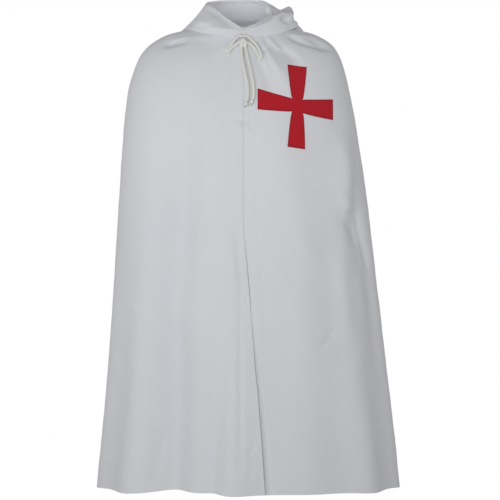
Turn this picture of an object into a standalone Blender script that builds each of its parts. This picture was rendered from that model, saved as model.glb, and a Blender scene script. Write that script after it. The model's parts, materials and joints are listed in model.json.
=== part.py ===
"""White hooded cape with a drawstring neck and a red flared cross, worn with its hood down.

Metres, +Z up. The front faces -Y and the wearer's left is +X. The origin is the middle of the neck,
level with the root of the shoulders, where the wearer carries the cape.
"""

import math
from typing import NamedTuple

import bmesh
import bpy
import numpy as np

# Driving dimensions
CLOTH = 0.002
SEAM_GAP = 0.0003
CORD_DIAMETER = 0.0078
SIDE_SEAM_ANGLE = 93.0
BACK_FULLNESS = 0.045
CROSS_ROOT_WIDTH = 0.0235
CROSS_ROOT_HEIGHT = 0.030
CROSS_THICKNESS = 0.0012

# Grid sizes of the walls
BODY_RINGS = 22
FRONT_COLUMNS = 18
BACK_COLUMNS = 44
HOOD_COLUMNS = 18
HOOD_OUTER_ROWS = 9
HOOD_TURN_ROWS = 4
HOOD_RETURN_ROWS = 10
HOOD_RETURN_CROWDING = 2.0
RING_CROWDING = 0.65
FRONT_EDGE_CROWDING = 1.5
SHARP_ANGLE = 50.0

# Finish of each piece: sRGB colour and roughness
CLOTH_WHITE = (222, 223, 228)
CROSS_RED = (186, 30, 46)
CORD_CREAM = (226, 227, 218)
CLOTH_ROUGHNESS = 0.85
CORD_ROUGHNESS = 0.8


class Section(NamedTuple):
    """One level of the cape: its heights at side, front and back, and its reach each way."""

    side_z: float
    front_z: float
    back_z: float
    right_reach: float
    left_reach: float
    front_reach: float
    back_reach: float
    squareness: float


SECTIONS = (
    Section(0.022, -0.013, 0.017, 0.074, 0.074, 0.076, 0.064, 0.00),
    Section(0.0075, -0.048, 0.003, 0.118, 0.118, 0.090, 0.090, 0.00),
    Section(-0.006, -0.098, -0.040, 0.174, 0.174, 0.110, 0.112, 0.02),
    Section(-0.034, -0.158, -0.105, 0.222, 0.219, 0.129, 0.126, 0.04),
    Section(-0.068, -0.212, -0.165, 0.248, 0.239, 0.141, 0.133, 0.05),
    Section(-0.163, -0.300, -0.262, 0.275, 0.263, 0.151, 0.139, 0.05),
    Section(-0.403, -0.495, -0.480, 0.294, 0.301, 0.163, 0.155, 0.03),
    Section(-0.643, -0.690, -0.682, 0.308, 0.328, 0.180, 0.184, 0.02),
    Section(-0.885, -0.900, -0.897, 0.323, 0.353, 0.202, 0.215, 0.00),
    Section(-1.085, -1.082, -1.085, 0.340, 0.373, 0.230, 0.245, 0.00),
)


class Fold(NamedTuple):
    """A ridge (depth above 0) or trough (below 0) that runs down the cloth between two places.

    Angles are degrees round from the front, the wearer's left positive. Start and finish are metres of
    cloth below the neck seam. A fold that runs to the hem grows all the way, any other swells and fades.
    """

    start_angle: float
    finish_angle: float
    start: float
    finish: float
    depth: float
    half_width: float


HEM = 1.2
FOLD_DROOP = 0.25
FOLDS = (
    # Gathers that spread from the drawstring over the left front
    Fold(12, 21, 0.00, 0.24, -0.005, 3.5),
    Fold(20, 31, 0.00, 0.22, 0.006, 4.0),
    Fold(31, 44, 0.00, 0.20, -0.005, 4.5),
    # Creases along the tops of the shoulders
    Fold(64, 72, 0.03, 0.18, -0.005, 5.0),
    Fold(-58, -68, 0.03, 0.16, -0.004, 5.0),
    # Right front
    Fold(-33, -31, 0.08, 0.75, -0.009, 8.0),
    Fold(-31, -29, 0.15, HEM, -0.044, 8.5),
    Fold(-46, -49, 0.35, HEM, 0.020, 9.0),
    Fold(-9, -11, 0.60, HEM, -0.016, 4.0),
    Fold(-15, -16, 0.70, HEM, -0.008, 6.0),
    Fold(-1, -3, 0.60, HEM, 0.018, 7.0),
    # Left front, with the elbow behind it
    Fold(14, 32, 0.00, 1.00, 0.011, 10.0),
    Fold(24, 26, 0.45, HEM, 0.006, 9.0),
    Fold(55, 55, 0.30, 0.56, 0.013, 8.0),
    Fold(60, 61, 0.42, 0.72, -0.010, 6.0),
    Fold(48, 52, 0.60, HEM, 0.021, 9.0),
    Fold(68, 68, 0.42, 1.00, -0.008, 7.0),
    Fold(80, 79, 0.55, HEM, 0.010, 7.0),
    Fold(-76, -78, 0.55, HEM, 0.010, 8.0),
    # Flutes of the back
    Fold(103, 106, 0.40, HEM, -0.026, 7.0),
    Fold(119, 121, 0.33, HEM, 0.028, 8.0),
    Fold(136, 136, 0.28, HEM, -0.034, 7.5),
    Fold(151, 150, 0.30, HEM, 0.032, 7.0),
    Fold(166, 164, 0.36, HEM, -0.028, 7.0),
    Fold(179, 178, 0.30, HEM, 0.034, 7.5),
    Fold(-166, -167, 0.26, HEM, -0.036, 7.0),
    Fold(-150, -153, 0.33, HEM, 0.030, 7.5),
    Fold(-136, -138, 0.40, HEM, -0.027, 7.0),
    Fold(-121, -122, 0.30, HEM, 0.033, 8.0),
    Fold(-105, -105, 0.36, HEM, -0.028, 7.0),
)


class FrontEdge(NamedTuple):
    """Free edges of the two fronts at one level, and how far each edge sinks behind the other."""

    down: float
    right_x: float
    left_x: float
    right_sink: float
    left_sink: float
    left_ease: float


FRONT_EDGES = (
    FrontEdge(0.000, 0.0038, 0.0054, 0.000, 0.000, 0.012),
    FrontEdge(0.045, 0.0042, 0.0050, 0.000, 0.000, 0.012),
    FrontEdge(0.465, 0.0042, 0.0050, 0.000, 0.000, 0.012),
    FrontEdge(0.605, 0.0148, 0.0160, 0.009, 0.000, 0.012),
    FrontEdge(0.710, 0.0218, 0.0235, 0.003, 0.003, 0.012),
    FrontEdge(0.768, 0.0253, 0.0240, 0.000, 0.007, 0.010),
    FrontEdge(0.850, 0.0310, 0.0225, 0.000, 0.010, 0.010),
    FrontEdge(0.926, 0.0379, 0.0200, 0.000, 0.012, 0.011),
    FrontEdge(1.150, 0.0536, 0.0180, 0.000, 0.014, 0.017),
)
RIGHT_SINK_HOLD = 0.017
RIGHT_SINK_EASE = 0.008


class HoodSection(NamedTuple):
    """One section of the hood, at an angle round the neck from the throat.

    The face edge comes first, then the middle of the outer slope with the dip between them. The bag
    hangs that far down the cape below the neck seam and stands that far off it.
    """

    angle: float
    edge_reach: float
    edge_z: float
    slope_reach: float
    slope_z: float
    dip: float
    bag_down: float
    bag_bulge: float


HOOD_BACK = HoodSection(180, 0.087, 0.086, 0.150, 0.004, 0.000, 0.300, 0.046)
HOOD_RIGHT = (
    HoodSection(-2.9, 0.084, -0.003, 0.0872, -0.009, 0.000, 0.012, 0.0092),
    HoodSection(25, 0.080, 0.026, 0.087, 0.008, 0.000, 0.022, 0.0095),
    HoodSection(45, 0.078, 0.046, 0.092, 0.023, 0.000, 0.033, 0.0095),
    HoodSection(70, 0.076, 0.062, 0.102, 0.036, 0.000, 0.047, 0.0095),
    HoodSection(90, 0.076, 0.069, 0.109, 0.038, 0.000, 0.058, 0.0095),
    HoodSection(115, 0.083, 0.077, 0.121, 0.032, 0.000, 0.076, 0.014),
    HoodSection(135, 0.086, 0.081, 0.140, 0.020, 0.000, 0.150, 0.030),
    HoodSection(155, 0.087, 0.084, 0.148, 0.009, 0.000, 0.260, 0.042),
    HoodSection(168, 0.087, 0.085, 0.150, 0.005, 0.000, 0.292, 0.045),
    HOOD_BACK,
)
HOOD_LEFT = (
    HoodSection(3.3, 0.084, -0.003, 0.0872, -0.009, 0.000, 0.012, 0.0092),
    HoodSection(25, 0.086, 0.014, 0.090, 0.002, 0.000, 0.022, 0.0095),
    HoodSection(45, 0.085, 0.033, 0.097, 0.018, 0.000, 0.034, 0.0095),
    HoodSection(70, 0.067, 0.053, 0.106, 0.040, 0.003, 0.045, 0.011),
    HoodSection(90, 0.062, 0.062, 0.1245, 0.050, 0.005, 0.052, 0.0235),
    HoodSection(112, 0.0625, 0.069, 0.126, 0.067, 0.011, 0.062, 0.028),
    HoodSection(135, 0.071, 0.079, 0.143, 0.046, 0.010, 0.145, 0.034),
    HoodSection(155, 0.082, 0.084, 0.149, 0.016, 0.002, 0.256, 0.043),
    HoodSection(168, 0.087, 0.085, 0.150, 0.006, 0.000, 0.291, 0.045),
    HOOD_BACK,
)
HOOD_LEAN = 0.007
HOOD_ROLL = 0.008
HOOD_ROLL_RISE = 0.003
HOOD_FLAT_SHARE = 0.3
HOOD_BAG_MIDDLE = 0.75
HOOD_LONG_BAG = 0.14
HOOD_CLEARANCE = 0.0018
HOOD_CLEARANCE_GROWTH = 0.026
HOOD_SEAM_CLEARANCE = 0.0012

# Bow: routes in metres right of and above the knot, as seen from the front
KNOT_X = 0.0045
KNOT_Z = -0.037
KNOT_HALF_SIZES = (0.011, 0.0075, 0.009)
LOOP_RIGHT_ROUTE = (
    (-0.0118, 0.0024),
    (-0.0258, -0.0030),
    (-0.0376, -0.0110),
    (-0.0434, -0.0200),
    (-0.0364, -0.0246),
    (-0.0235, -0.0190),
    (-0.0114, -0.0070),
)
LOOP_LEFT_ROUTE = (
    (0.0118, 0.0024),
    (0.0250, -0.0040),
    (0.0370, -0.0150),
    (0.0445, -0.0290),
    (0.0440, -0.0390),
    (0.0350, -0.0410),
    (0.0255, -0.0320),
    (0.0180, -0.0195),
    (0.0113, -0.0076),
)
TAIL_RIGHT_ROUTE = (
    (-0.0043, -0.0086),
    (-0.0045, -0.0220),
    (-0.0020, -0.0420),
    (0.0023, -0.0630),
    (0.0094, -0.0980),
    (0.0108, -0.1290),
    (0.0075, -0.1420),
)
TAIL_LEFT_ROUTE = (
    (0.0041, -0.0083),
    (0.0070, -0.0220),
    (0.0130, -0.0480),
    (0.0190, -0.0750),
    (0.0235, -0.0986),
    (0.0250, -0.1260),
    (0.0215, -0.1370),
)
CORD_CLEARANCE = 0.0009
CORD_POINT_SPACING = 2.0
END_KNOT_RADIUS = 0.0055
END_KNOT_STRETCH = 1.25
CORD_LEAST_STEPS = 4
CORD_ROUNDNESS = 2
KNOT_SEGMENTS = 12
KNOT_RINGS = 8


class Arm(NamedTuple):
    """One arm of the cross: its way right and up from the middle, its length and how it flares.

    Its sides spread early where the flare is below 1. Its end leans that far to its left, looking out
    along it.
    """

    right: int
    up: int
    length: float
    end_width: float
    flare: float
    lean: float


CROSS_ARMS = (
    Arm(1, 0, 0.0905, 0.0485, 0.75, 0.000),
    Arm(0, 1, 0.0955, 0.0460, 0.65, 0.000),
    Arm(-1, 0, 0.0935, 0.0490, 0.90, 0.000),
    Arm(0, -1, 0.0995, 0.0415, 0.50, -0.003),
)
# Middle of the cross on the left front, and the droop and sag of its level arms across the breast
CROSS_X = 0.131
CROSS_Z = -0.187
CROSS_DROOP = 0.121
CROSS_SAG = 0.505
CROSS_REACH = 0.1
CROSS_CLEARANCE = 0.0008
CROSS_ARM_CELLS = 5
CROSS_WIDTH_CELLS = 2
CROSS_STEPS = 32

# How finely slopes, curves and places on the front are worked out
SLOPE_STEP = 1e-4
ROUTE_STEPS = 12
FRONT_GUESS = 0.02
FRONT_GUESS_LIMIT = 0.9
FRONT_TRIES = 12
PLACE_DIGITS = 7


def smooth_through(knots, values, at):
    """Smooth curve through the rows of a table that never overshoots between two of them."""
    knots = np.asarray(knots, dtype=float)
    values = np.asarray(values, dtype=float)
    step = np.diff(knots)
    slope = np.diff(values) / step
    same_way = slope[:-1] * slope[1:] > 0
    total = np.where(same_way, slope[:-1] + slope[1:], 1.0)
    middle = np.where(same_way, 2 * slope[:-1] * slope[1:] / total, 0.0)
    tangent = np.concatenate((slope[:1], middle, slope[-1:]))
    cell = np.clip(np.searchsorted(knots, at) - 1, 0, len(step) - 1)
    along = (at - knots[cell]) / step[cell]
    rise = values[cell + 1] - values[cell]
    first = tangent[cell] * step[cell]
    last = tangent[cell + 1] * step[cell]
    bend = 3 * rise - 2 * first - last
    twist = first + last - 2 * rise
    return values[cell] + along * (first + along * (bend + along * twist))


def ease(value):
    """Smooth step from 0 to 1."""
    value = np.clip(value, 0.0, 1.0)
    return value * value * (3 - 2 * value)


def section_levels():
    """Cloth length from the neck seam to each section, the mean of front, sides and back."""
    table = np.array(SECTIONS)
    step = np.diff(table, axis=0)
    front = np.hypot(step[:, 1], step[:, 5])
    back = np.hypot(step[:, 2], step[:, 6])
    right = np.hypot(step[:, 0], step[:, 3])
    left = np.hypot(step[:, 0], step[:, 4])
    return np.concatenate(([0.0], np.cumsum((front + back + right + left) / 4)))


LEVELS = section_levels()
CAPE_LENGTH = LEVELS[-1]


def section_at(down):
    """Section of the cape at that much cloth below the neck seam."""
    columns = np.array(SECTIONS).T
    return Section(*(smooth_through(LEVELS, column, down) for column in columns))


def fold_height(angle, down):
    """How far the folds lift the cloth at these places."""
    height = np.zeros(np.broadcast(angle, down).shape)
    for fold in FOLDS:
        finish = min(fold.finish, CAPE_LENGTH)
        along = np.clip((down - fold.start) / (finish - fold.start), 0.0, 1.0)
        middle = np.radians(fold.start_angle + (fold.finish_angle - fold.start_angle) * along)
        away = np.remainder(angle - middle + math.pi, 2 * math.pi) - math.pi
        swell = ease(along) if fold.finish > CAPE_LENGTH else np.sin(math.pi * along) ** 2
        height += fold.depth * swell * np.exp(-((away / math.radians(fold.half_width)) ** 2))
    return height


def plain_point(angle, down):
    """Point of the cape before its folds, at an angle round from the front."""
    row = section_at(down)
    sine = np.sin(angle)
    cosine = np.cos(angle)
    wide = np.where(sine < 0, row.right_reach, row.left_reach)
    deep = np.where(cosine > 0, row.front_reach, row.back_reach)
    fullness = row.squareness + np.where(cosine > 0, 0.0, BACK_FULLNESS)
    swell = 1 + fullness * np.sin(2 * angle) ** 2
    end_z = np.where(cosine > 0, row.front_z, row.back_z)
    height = row.side_z + (end_z - row.side_z) * cosine ** 2
    return np.stack((wide * swell * sine, -deep * swell * cosine, height), axis=-1)


def outward(surface, angle, down):
    """Unit vectors pointing out of a surface given by angle and cloth length."""
    around = surface(angle + SLOPE_STEP, down) - surface(angle - SLOPE_STEP, down)
    along = surface(angle, down + SLOPE_STEP) - surface(angle, down - SLOPE_STEP)
    normal = np.cross(along, around)
    return normal / np.linalg.norm(normal, axis=-1, keepdims=True)


def cape_point(angle, down):
    """Point of the cape's outer face."""
    height = fold_height(angle, down)
    way = outward(plain_point, angle, down)
    way[..., 2] -= FOLD_DROOP * ease(down / CAPE_LENGTH)
    return plain_point(angle, down) + height[..., None] * way


def front_edge_at(down):
    """Row of the front edge table at these levels."""
    table = np.array(FRONT_EDGES).T
    return FrontEdge(*(smooth_through(table[0], column, down) for column in table))


def right_front_point(angle, down):
    """Outer face of the right front, whose edge sinks behind the left front below the breast."""
    row = front_edge_at(down)
    inside = row.right_x - plain_point(angle, down)[..., 0]
    sink = row.right_sink * (1 - ease((inside - RIGHT_SINK_HOLD) / RIGHT_SINK_EASE))
    return cape_point(angle, down) - sink[..., None] * outward(plain_point, angle, down)


def left_front_point(angle, down):
    """Outer face of the left front, which goes under the right front lower down."""
    row = front_edge_at(down)
    inside = plain_point(angle, down)[..., 0] - np.maximum(row.right_x, row.left_x)
    sink = row.left_sink * (1 - ease(inside / row.left_ease))
    return cape_point(angle, down) - sink[..., None] * outward(plain_point, angle, down)


def edge_angle(x, down):
    """Angle round the cape at which its front has this x."""
    row = section_at(down)
    return np.arcsin(x / np.where(x < 0, row.right_reach, row.left_reach))


def ring_levels():
    """Levels of the rings, closer together near the neck."""
    share = np.linspace(0.0, 1.0, BODY_RINGS + 1)
    return CAPE_LENGTH * ((1 - RING_CROWDING) * share + RING_CROWDING * share ** 2)


def seam_angle(down, side):
    """Angle of a side seam and of the half gap there; side is -1 on the wearer's right, 1 on the left."""
    half_gap = 0.5 * SEAM_GAP / section_at(down).back_reach
    return side * math.radians(SIDE_SEAM_ANGLE), half_gap


def linear_colour(colour):
    """Linear RGBA of an sRGB colour given from 0 to 255."""
    parts = [value / 255 for value in colour]
    return tuple(((part + 0.055) / 1.055) ** 2.4 for part in parts) + (1.0,)


def make_material(name, colour, roughness):
    """Plain dull finish."""
    material = bpy.data.materials.new(name)
    material.use_nodes = True
    shader = material.node_tree.nodes["Principled BSDF"]
    shader.inputs["Base Color"].default_value = linear_colour(colour)
    shader.inputs["Roughness"].default_value = roughness
    shader.inputs["Metallic"].default_value = 0.0
    return material


def place_mesh(name, shape, material):
    """Put a finished bmesh into the scene as a smooth named object."""
    bmesh.ops.recalc_face_normals(shape, faces=shape.faces)
    mesh = bpy.data.meshes.new(name)
    shape.to_mesh(mesh)
    shape.free()
    mesh.shade_smooth()
    mesh.set_sharp_from_angle(angle=math.radians(SHARP_ANGLE))
    mesh.materials.append(material)
    piece = bpy.data.objects.new(name, mesh)
    bpy.context.scene.collection.objects.link(piece)
    return piece


def grid_faces(shape, corners, reverse):
    """Quads over a grid of vertices."""
    for above, below in zip(corners[:-1], corners[1:]):
        for column in range(len(above) - 1):
            quad = [above[column], above[column + 1], below[column + 1], below[column]]
            shape.faces.new(reversed(quad) if reverse else quad)


def make_wall(name, outer, inner, material):
    """Closed wall of cloth between two grids of points, with its rim."""
    shape = bmesh.new()
    front = [[shape.verts.new(point) for point in row] for row in outer]
    rear = [[shape.verts.new(point) for point in row] for row in inner]
    grid_faces(shape, front, False)
    grid_faces(shape, rear, True)
    grid_faces(shape, [rear[0], front[0]], False)
    grid_faces(shape, [front[-1], rear[-1]], False)
    grid_faces(shape, [[row[0] for row in front], [row[0] for row in rear]], False)
    grid_faces(shape, [[row[-1] for row in rear], [row[-1] for row in front]], False)
    return place_mesh(name, shape, material)


def make_panel(name, surface, angle, down, material):
    """Wall of cloth on a surface of the cape."""
    outer = surface(angle, down)
    inner = outer - CLOTH * outward(surface, angle, down)
    return make_wall(name, outer, inner, material)


def make_fronts(material):
    """Both fronts, from the free edge to the side seam."""
    down = ring_levels()[:, None]
    share = (np.linspace(0.0, 1.0, FRONT_COLUMNS + 1) ** FRONT_EDGE_CROWDING)[None, :]
    edges = front_edge_at(down)
    sides = (
        ("front_right", right_front_point, edges.right_x, -1),
        ("front_left", left_front_point, edges.left_x, 1),
    )
    for name, surface, edge_x, side in sides:
        seam, half_gap = seam_angle(down, side)
        start = edge_angle(edge_x, down)
        angle = start + (seam - side * half_gap - start) * share
        make_panel(name, surface, angle, np.broadcast_to(down, angle.shape), material)


def make_back(material):
    """Back in one piece, from the left side seam round to the right one."""
    down = ring_levels()[:, None]
    share = np.linspace(0.0, 1.0, BACK_COLUMNS + 1)[None, :]
    seam, half_gap = seam_angle(down, 1)
    start = seam + half_gap
    angle = start + 2 * (math.pi - start) * share
    make_panel("back", cape_point, angle, np.broadcast_to(down, angle.shape), material)


def smooth_route(points, count):
    """Evenly spaced points on a smooth curve through the given ones."""
    points = np.asarray(points, dtype=float)
    padded = np.concatenate((2 * points[:1] - points[1:2], points, 2 * points[-1:] - points[-2:-1]))
    share = np.linspace(0.0, 1.0, ROUTE_STEPS + 1)[:-1, None]
    stretches = []
    for before, start, finish, after in zip(padded, padded[1:], padded[2:], padded[3:]):
        bend = 2 * before - 5 * start + 4 * finish - after
        twist = 3 * start - before - 3 * finish + after
        stretches.append(start + 0.5 * share * (finish - before + share * (bend + share * twist)))
    fine = np.concatenate(stretches + [points[-1:]])
    length = np.concatenate(([0.0], np.cumsum(np.linalg.norm(np.diff(fine, axis=0), axis=1))))
    at = np.linspace(0.0, length[-1], count)
    return np.stack([np.interp(at, length, fine[:, axis]) for axis in range(3)], axis=-1)


def above_cape(angle, down, lift):
    """Points that far above the cape's outer face."""
    angle, down, lift = np.broadcast_arrays(angle, down, lift)
    return cape_point(angle, down) + lift[..., None] * outward(cape_point, angle, down)


def hood_lines(row, side):
    """Lines of the hood's outer face at each angle, from the face edge round the bag to the neck seam."""
    turn = np.radians(row.angle)
    angle = side * turn
    across = np.stack((np.sin(angle), -np.cos(angle), np.zeros(len(angle))), axis=-1)
    rise = np.array((0.0, 0.0, 1.0))
    backward = np.array((0.0, 1.0, 0.0))
    roll = np.sin(turn / 2)[:, None] ** 2
    lean = np.where(turn < 0.5 * math.pi, HOOD_LEAN * np.sin(2 * turn) ** 2, 0.0)[:, None]
    edge = across * row.edge_reach[:, None] + rise * row.edge_z[:, None] + backward * lean
    slope = across * row.slope_reach[:, None] + rise * row.slope_z[:, None]
    crest = edge + roll * (across * HOOD_ROLL + rise * HOOD_ROLL_RISE)
    crest += (1 - roll) * HOOD_FLAT_SHARE * (slope - edge)
    dip = 0.5 * (crest + slope) - rise * row.dip[:, None]
    clearance = HOOD_CLEARANCE + HOOD_CLEARANCE_GROWTH * row.bag_down
    radius = 0.5 * (row.bag_bulge - clearance)
    bag = row.bag_down - radius
    middle = above_cape(angle, HOOD_BAG_MIDDLE * bag, row.bag_bulge)
    side_of_bag = above_cape(angle, bag, row.bag_bulge)
    long = ease(row.bag_down / HOOD_LONG_BAG - 0.5)[:, None]
    middle = long * middle + (1 - long) * 0.5 * (slope + side_of_bag)
    controls = np.stack((edge, crest, dip, slope, middle, side_of_bag), axis=1)
    lines = list(np.stack([smooth_route(line, HOOD_OUTER_ROWS + 1) for line in controls], axis=1))
    for bend in np.linspace(math.pi / 2, -math.pi / 2, HOOD_TURN_ROWS + 1)[1:]:
        lift = clearance + radius * (1 + math.sin(bend))
        lines.append(above_cape(angle, bag + radius * math.cos(bend), lift))
    for share in np.linspace(1.0, 0.0, HOOD_RETURN_ROWS + 1)[1:] ** HOOD_RETURN_CROWDING:
        lift = clearance * share + HOOD_SEAM_CLEARANCE * (1 - share)
        lines.append(above_cape(angle, bag * share, lift))
    return np.stack(lines)


def make_hood_half(name, sections, side, material):
    """Half of the hood, from the throat to the seam down the middle of its back."""
    table = np.array(sections).T
    share = np.linspace(0.0, 1.0, HOOD_COLUMNS + 1)
    angles = sections[0].angle + (180.0 - sections[0].angle) * share
    row = HoodSection(*(smooth_through(table[0], column, angles) for column in table))
    outer = hood_lines(row, side)
    around = np.gradient(outer, axis=1)
    along = np.gradient(outer, axis=0)
    normal = side * np.cross(along, around)
    normal /= np.linalg.norm(normal, axis=-1, keepdims=True)
    inner = outer - CLOTH * normal
    for wall in (outer, inner):
        wall[:, -1, 0] = side * 0.5 * SEAM_GAP
    make_wall(name, outer, inner, material)


def front_place(x, z):
    """Angles and cloth lengths of the cape's front points that have these x and z."""
    down = FRONT_GUESS - z
    reach = np.clip(x / section_at(down).left_reach, -FRONT_GUESS_LIMIT, FRONT_GUESS_LIMIT)
    angle = np.arcsin(reach)
    for _ in range(FRONT_TRIES):
        here = cape_point(angle, down)
        turned = (cape_point(angle + SLOPE_STEP, down) - here) / SLOPE_STEP
        lowered = (cape_point(angle, down + SLOPE_STEP) - here) / SLOPE_STEP
        short_x = x - here[..., 0]
        short_z = z - here[..., 2]
        area = turned[..., 0] * lowered[..., 2] - turned[..., 2] * lowered[..., 0]
        angle = angle + (short_x * lowered[..., 2] - short_z * lowered[..., 0]) / area
        down = down + (turned[..., 0] * short_z - turned[..., 2] * short_x) / area
    return angle, down


def above_front(x, z, lift):
    """Points that far in front of the cape's front, at this x and z of the cloth."""
    x, z = np.broadcast_arrays(np.asarray(x, dtype=float), np.asarray(z, dtype=float))
    return above_cape(*front_place(x, z), lift)


def knot_middle():
    """Middle of the bow's knot, resting on the throat."""
    return above_front(KNOT_X, KNOT_Z, KNOT_HALF_SIZES[1] + SEAM_GAP)


def cord_route(route):
    """Middle line of a stretch of cord that lies on the front, from places given from the knot."""
    lift = 0.5 * CORD_DIAMETER + CORD_CLEARANCE
    x, z = np.array(route).T
    return above_front(KNOT_X + x, KNOT_Z + z, lift)


def make_cord(name, route, material):
    """Round cord along a route."""
    points = cord_route(route)
    length = np.linalg.norm(np.diff(points, axis=0), axis=1).sum()
    count = max(CORD_LEAST_STEPS, round(length / (CORD_POINT_SPACING * CORD_DIAMETER))) + 1
    line = bpy.data.curves.new(name, "CURVE")
    line.dimensions = "3D"
    line.bevel_depth = 0.5 * CORD_DIAMETER
    line.bevel_resolution = CORD_ROUNDNESS
    line.use_fill_caps = True
    spline = line.splines.new("POLY")
    spline.points.add(count - 1)
    for point, place in zip(spline.points, smooth_route(points, count)):
        point.co = (*place, 1.0)
    spline.use_smooth = True
    line.materials.append(material)
    piece = bpy.data.objects.new(name, line)
    bpy.context.scene.collection.objects.link(piece)
    return points


def make_ball(name, middle, half_sizes, material):
    """Rounded knot."""
    shape = bmesh.new()
    bmesh.ops.create_uvsphere(shape, u_segments=KNOT_SEGMENTS, v_segments=KNOT_RINGS, radius=1.0)
    for vertex in shape.verts:
        for axis in range(3):
            vertex.co[axis] = middle[axis] + vertex.co[axis] * half_sizes[axis]
    return place_mesh(name, shape, material)


def make_bow(material):
    """Bow of the drawstring: knot, loops, hanging ends and their knots."""
    make_ball("cord_knot", knot_middle(), KNOT_HALF_SIZES, material)
    make_cord("cord_loop_right", LOOP_RIGHT_ROUTE, material)
    make_cord("cord_loop_left", LOOP_LEFT_ROUTE, material)
    end_sizes = (END_KNOT_RADIUS, END_KNOT_RADIUS, END_KNOT_RADIUS * END_KNOT_STRETCH)
    for side, route in (("right", TAIL_RIGHT_ROUTE), ("left", TAIL_LEFT_ROUTE)):
        points = make_cord(f"cord_tail_{side}", route, material)
        way = points[-1] - points[-2]
        way /= np.linalg.norm(way)
        off_cloth = outward(cape_point, *front_place(points[-1, 0], points[-1, 2]))
        lift = END_KNOT_RADIUS - 0.5 * CORD_DIAMETER
        middle = points[-1] + way * (end_sizes[2] + SEAM_GAP) + off_cloth * lift
        make_ball(f"cord_end_{side}", middle, end_sizes, material)


def breast_x(along):
    """Where on the breast these lengths of cloth from the middle of the cross end."""
    across = np.linspace(CROSS_X - CROSS_REACH, CROSS_X + CROSS_REACH, CROSS_STEPS + 1)
    points = above_front(across, CROSS_Z, 0.0)
    length = np.concatenate(([0.0], np.cumsum(np.linalg.norm(np.diff(points[:, :2], axis=0), axis=1))))
    return np.interp(along, length - np.interp(CROSS_X, across, length), across)


def cross_tiles():
    """Flat quads of the cross: four flared arms and the middle between them."""
    half_wide = 0.5 * CROSS_ROOT_WIDTH
    half_tall = 0.5 * CROSS_ROOT_HEIGHT
    share = np.linspace(0.0, 1.0, CROSS_ARM_CELLS + 1)
    spread = np.linspace(-1.0, 1.0, CROSS_WIDTH_CELLS + 1)
    tiles = []
    for arm in CROSS_ARMS:
        start, half_root = (half_wide, half_tall) if arm.right else (half_tall, half_wide)
        reach = start + (arm.length - start) * share
        half = half_root + (0.5 * arm.end_width - half_root) * share ** arm.flare
        lean = arm.lean * share
        for cell in range(CROSS_ARM_CELLS):
            near, far = reach[cell:cell + 2]
            near_half, far_half = half[cell:cell + 2]
            near_lean, far_lean = lean[cell:cell + 2]
            for low, high in zip(spread[:-1], spread[1:]):
                quad = ((near, near_lean + low * near_half), (far, far_lean + low * far_half),
                        (far, far_lean + high * far_half), (near, near_lean + high * near_half))
                tiles.append([(arm.right * out - arm.up * aside, arm.up * out + arm.right * aside)
                              for out, aside in quad])
    for low, high in zip(half_tall * spread[:-1], half_tall * spread[1:]):
        for left, right in zip(half_wide * spread[:-1], half_wide * spread[1:]):
            tiles.append([(left, low), (right, low), (right, high), (left, high)])
    return tiles


def make_cross(material):
    """Red cross with four flared arms, lying on the left front."""
    numbers = {}
    quads = []
    for tile in cross_tiles():
        places = [(round(right, PLACE_DIGITS), round(up, PLACE_DIGITS)) for right, up in tile]
        quads.append([numbers.setdefault(place, len(numbers)) for place in places])
    right, up = np.array(list(numbers)).T
    height = CROSS_Z + up - CROSS_DROOP * right + CROSS_SAG * right ** 2
    x = breast_x(right)
    shape = bmesh.new()
    under = [shape.verts.new(point) for point in above_front(x, height, CROSS_CLEARANCE)]
    over = [shape.verts.new(point) for point in above_front(x, height, CROSS_CLEARANCE + CROSS_THICKNESS)]
    sides = {(quad[k], quad[(k + 1) % 4]) for quad in quads for k in range(4)}
    for quad in quads:
        shape.faces.new([over[k] for k in quad])
        shape.faces.new([under[k] for k in reversed(quad)])
    for start, finish in sides:
        if (finish, start) not in sides:
            shape.faces.new((over[finish], over[start], under[start], under[finish]))
    return place_mesh("cross", shape, material)


def main():
    """Build the cape."""
    for leftover in list(bpy.data.objects):
        bpy.data.objects.remove(leftover)
    cloth = make_material("white cloth", CLOTH_WHITE, CLOTH_ROUGHNESS)
    red = make_material("red cloth", CROSS_RED, CLOTH_ROUGHNESS)
    cord = make_material("cream cord", CORD_CREAM, CORD_ROUGHNESS)
    make_fronts(cloth)
    make_back(cloth)
    make_hood_half("hood_right", HOOD_RIGHT, -1, cloth)
    make_hood_half("hood_left", HOOD_LEFT, 1, cloth)
    make_cross(red)
    make_bow(cord)


main()
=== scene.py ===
"""Looks of a white hooded cape with a drawstring bow and a red cross, worn with its hood down.

Cloth, sewing and cord are thin shells and threads on the form of the solids. Metres, +Z up. The front faces
-Y, the wearer's left is +X and the origin is the middle of the neck.
"""

import json
import logging
import math
from dataclasses import dataclass
from enum import Enum, IntEnum
from functools import cached_property
from typing import Callable, Mapping, NamedTuple, Optional, Sequence, TypeVar, Union

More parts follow.
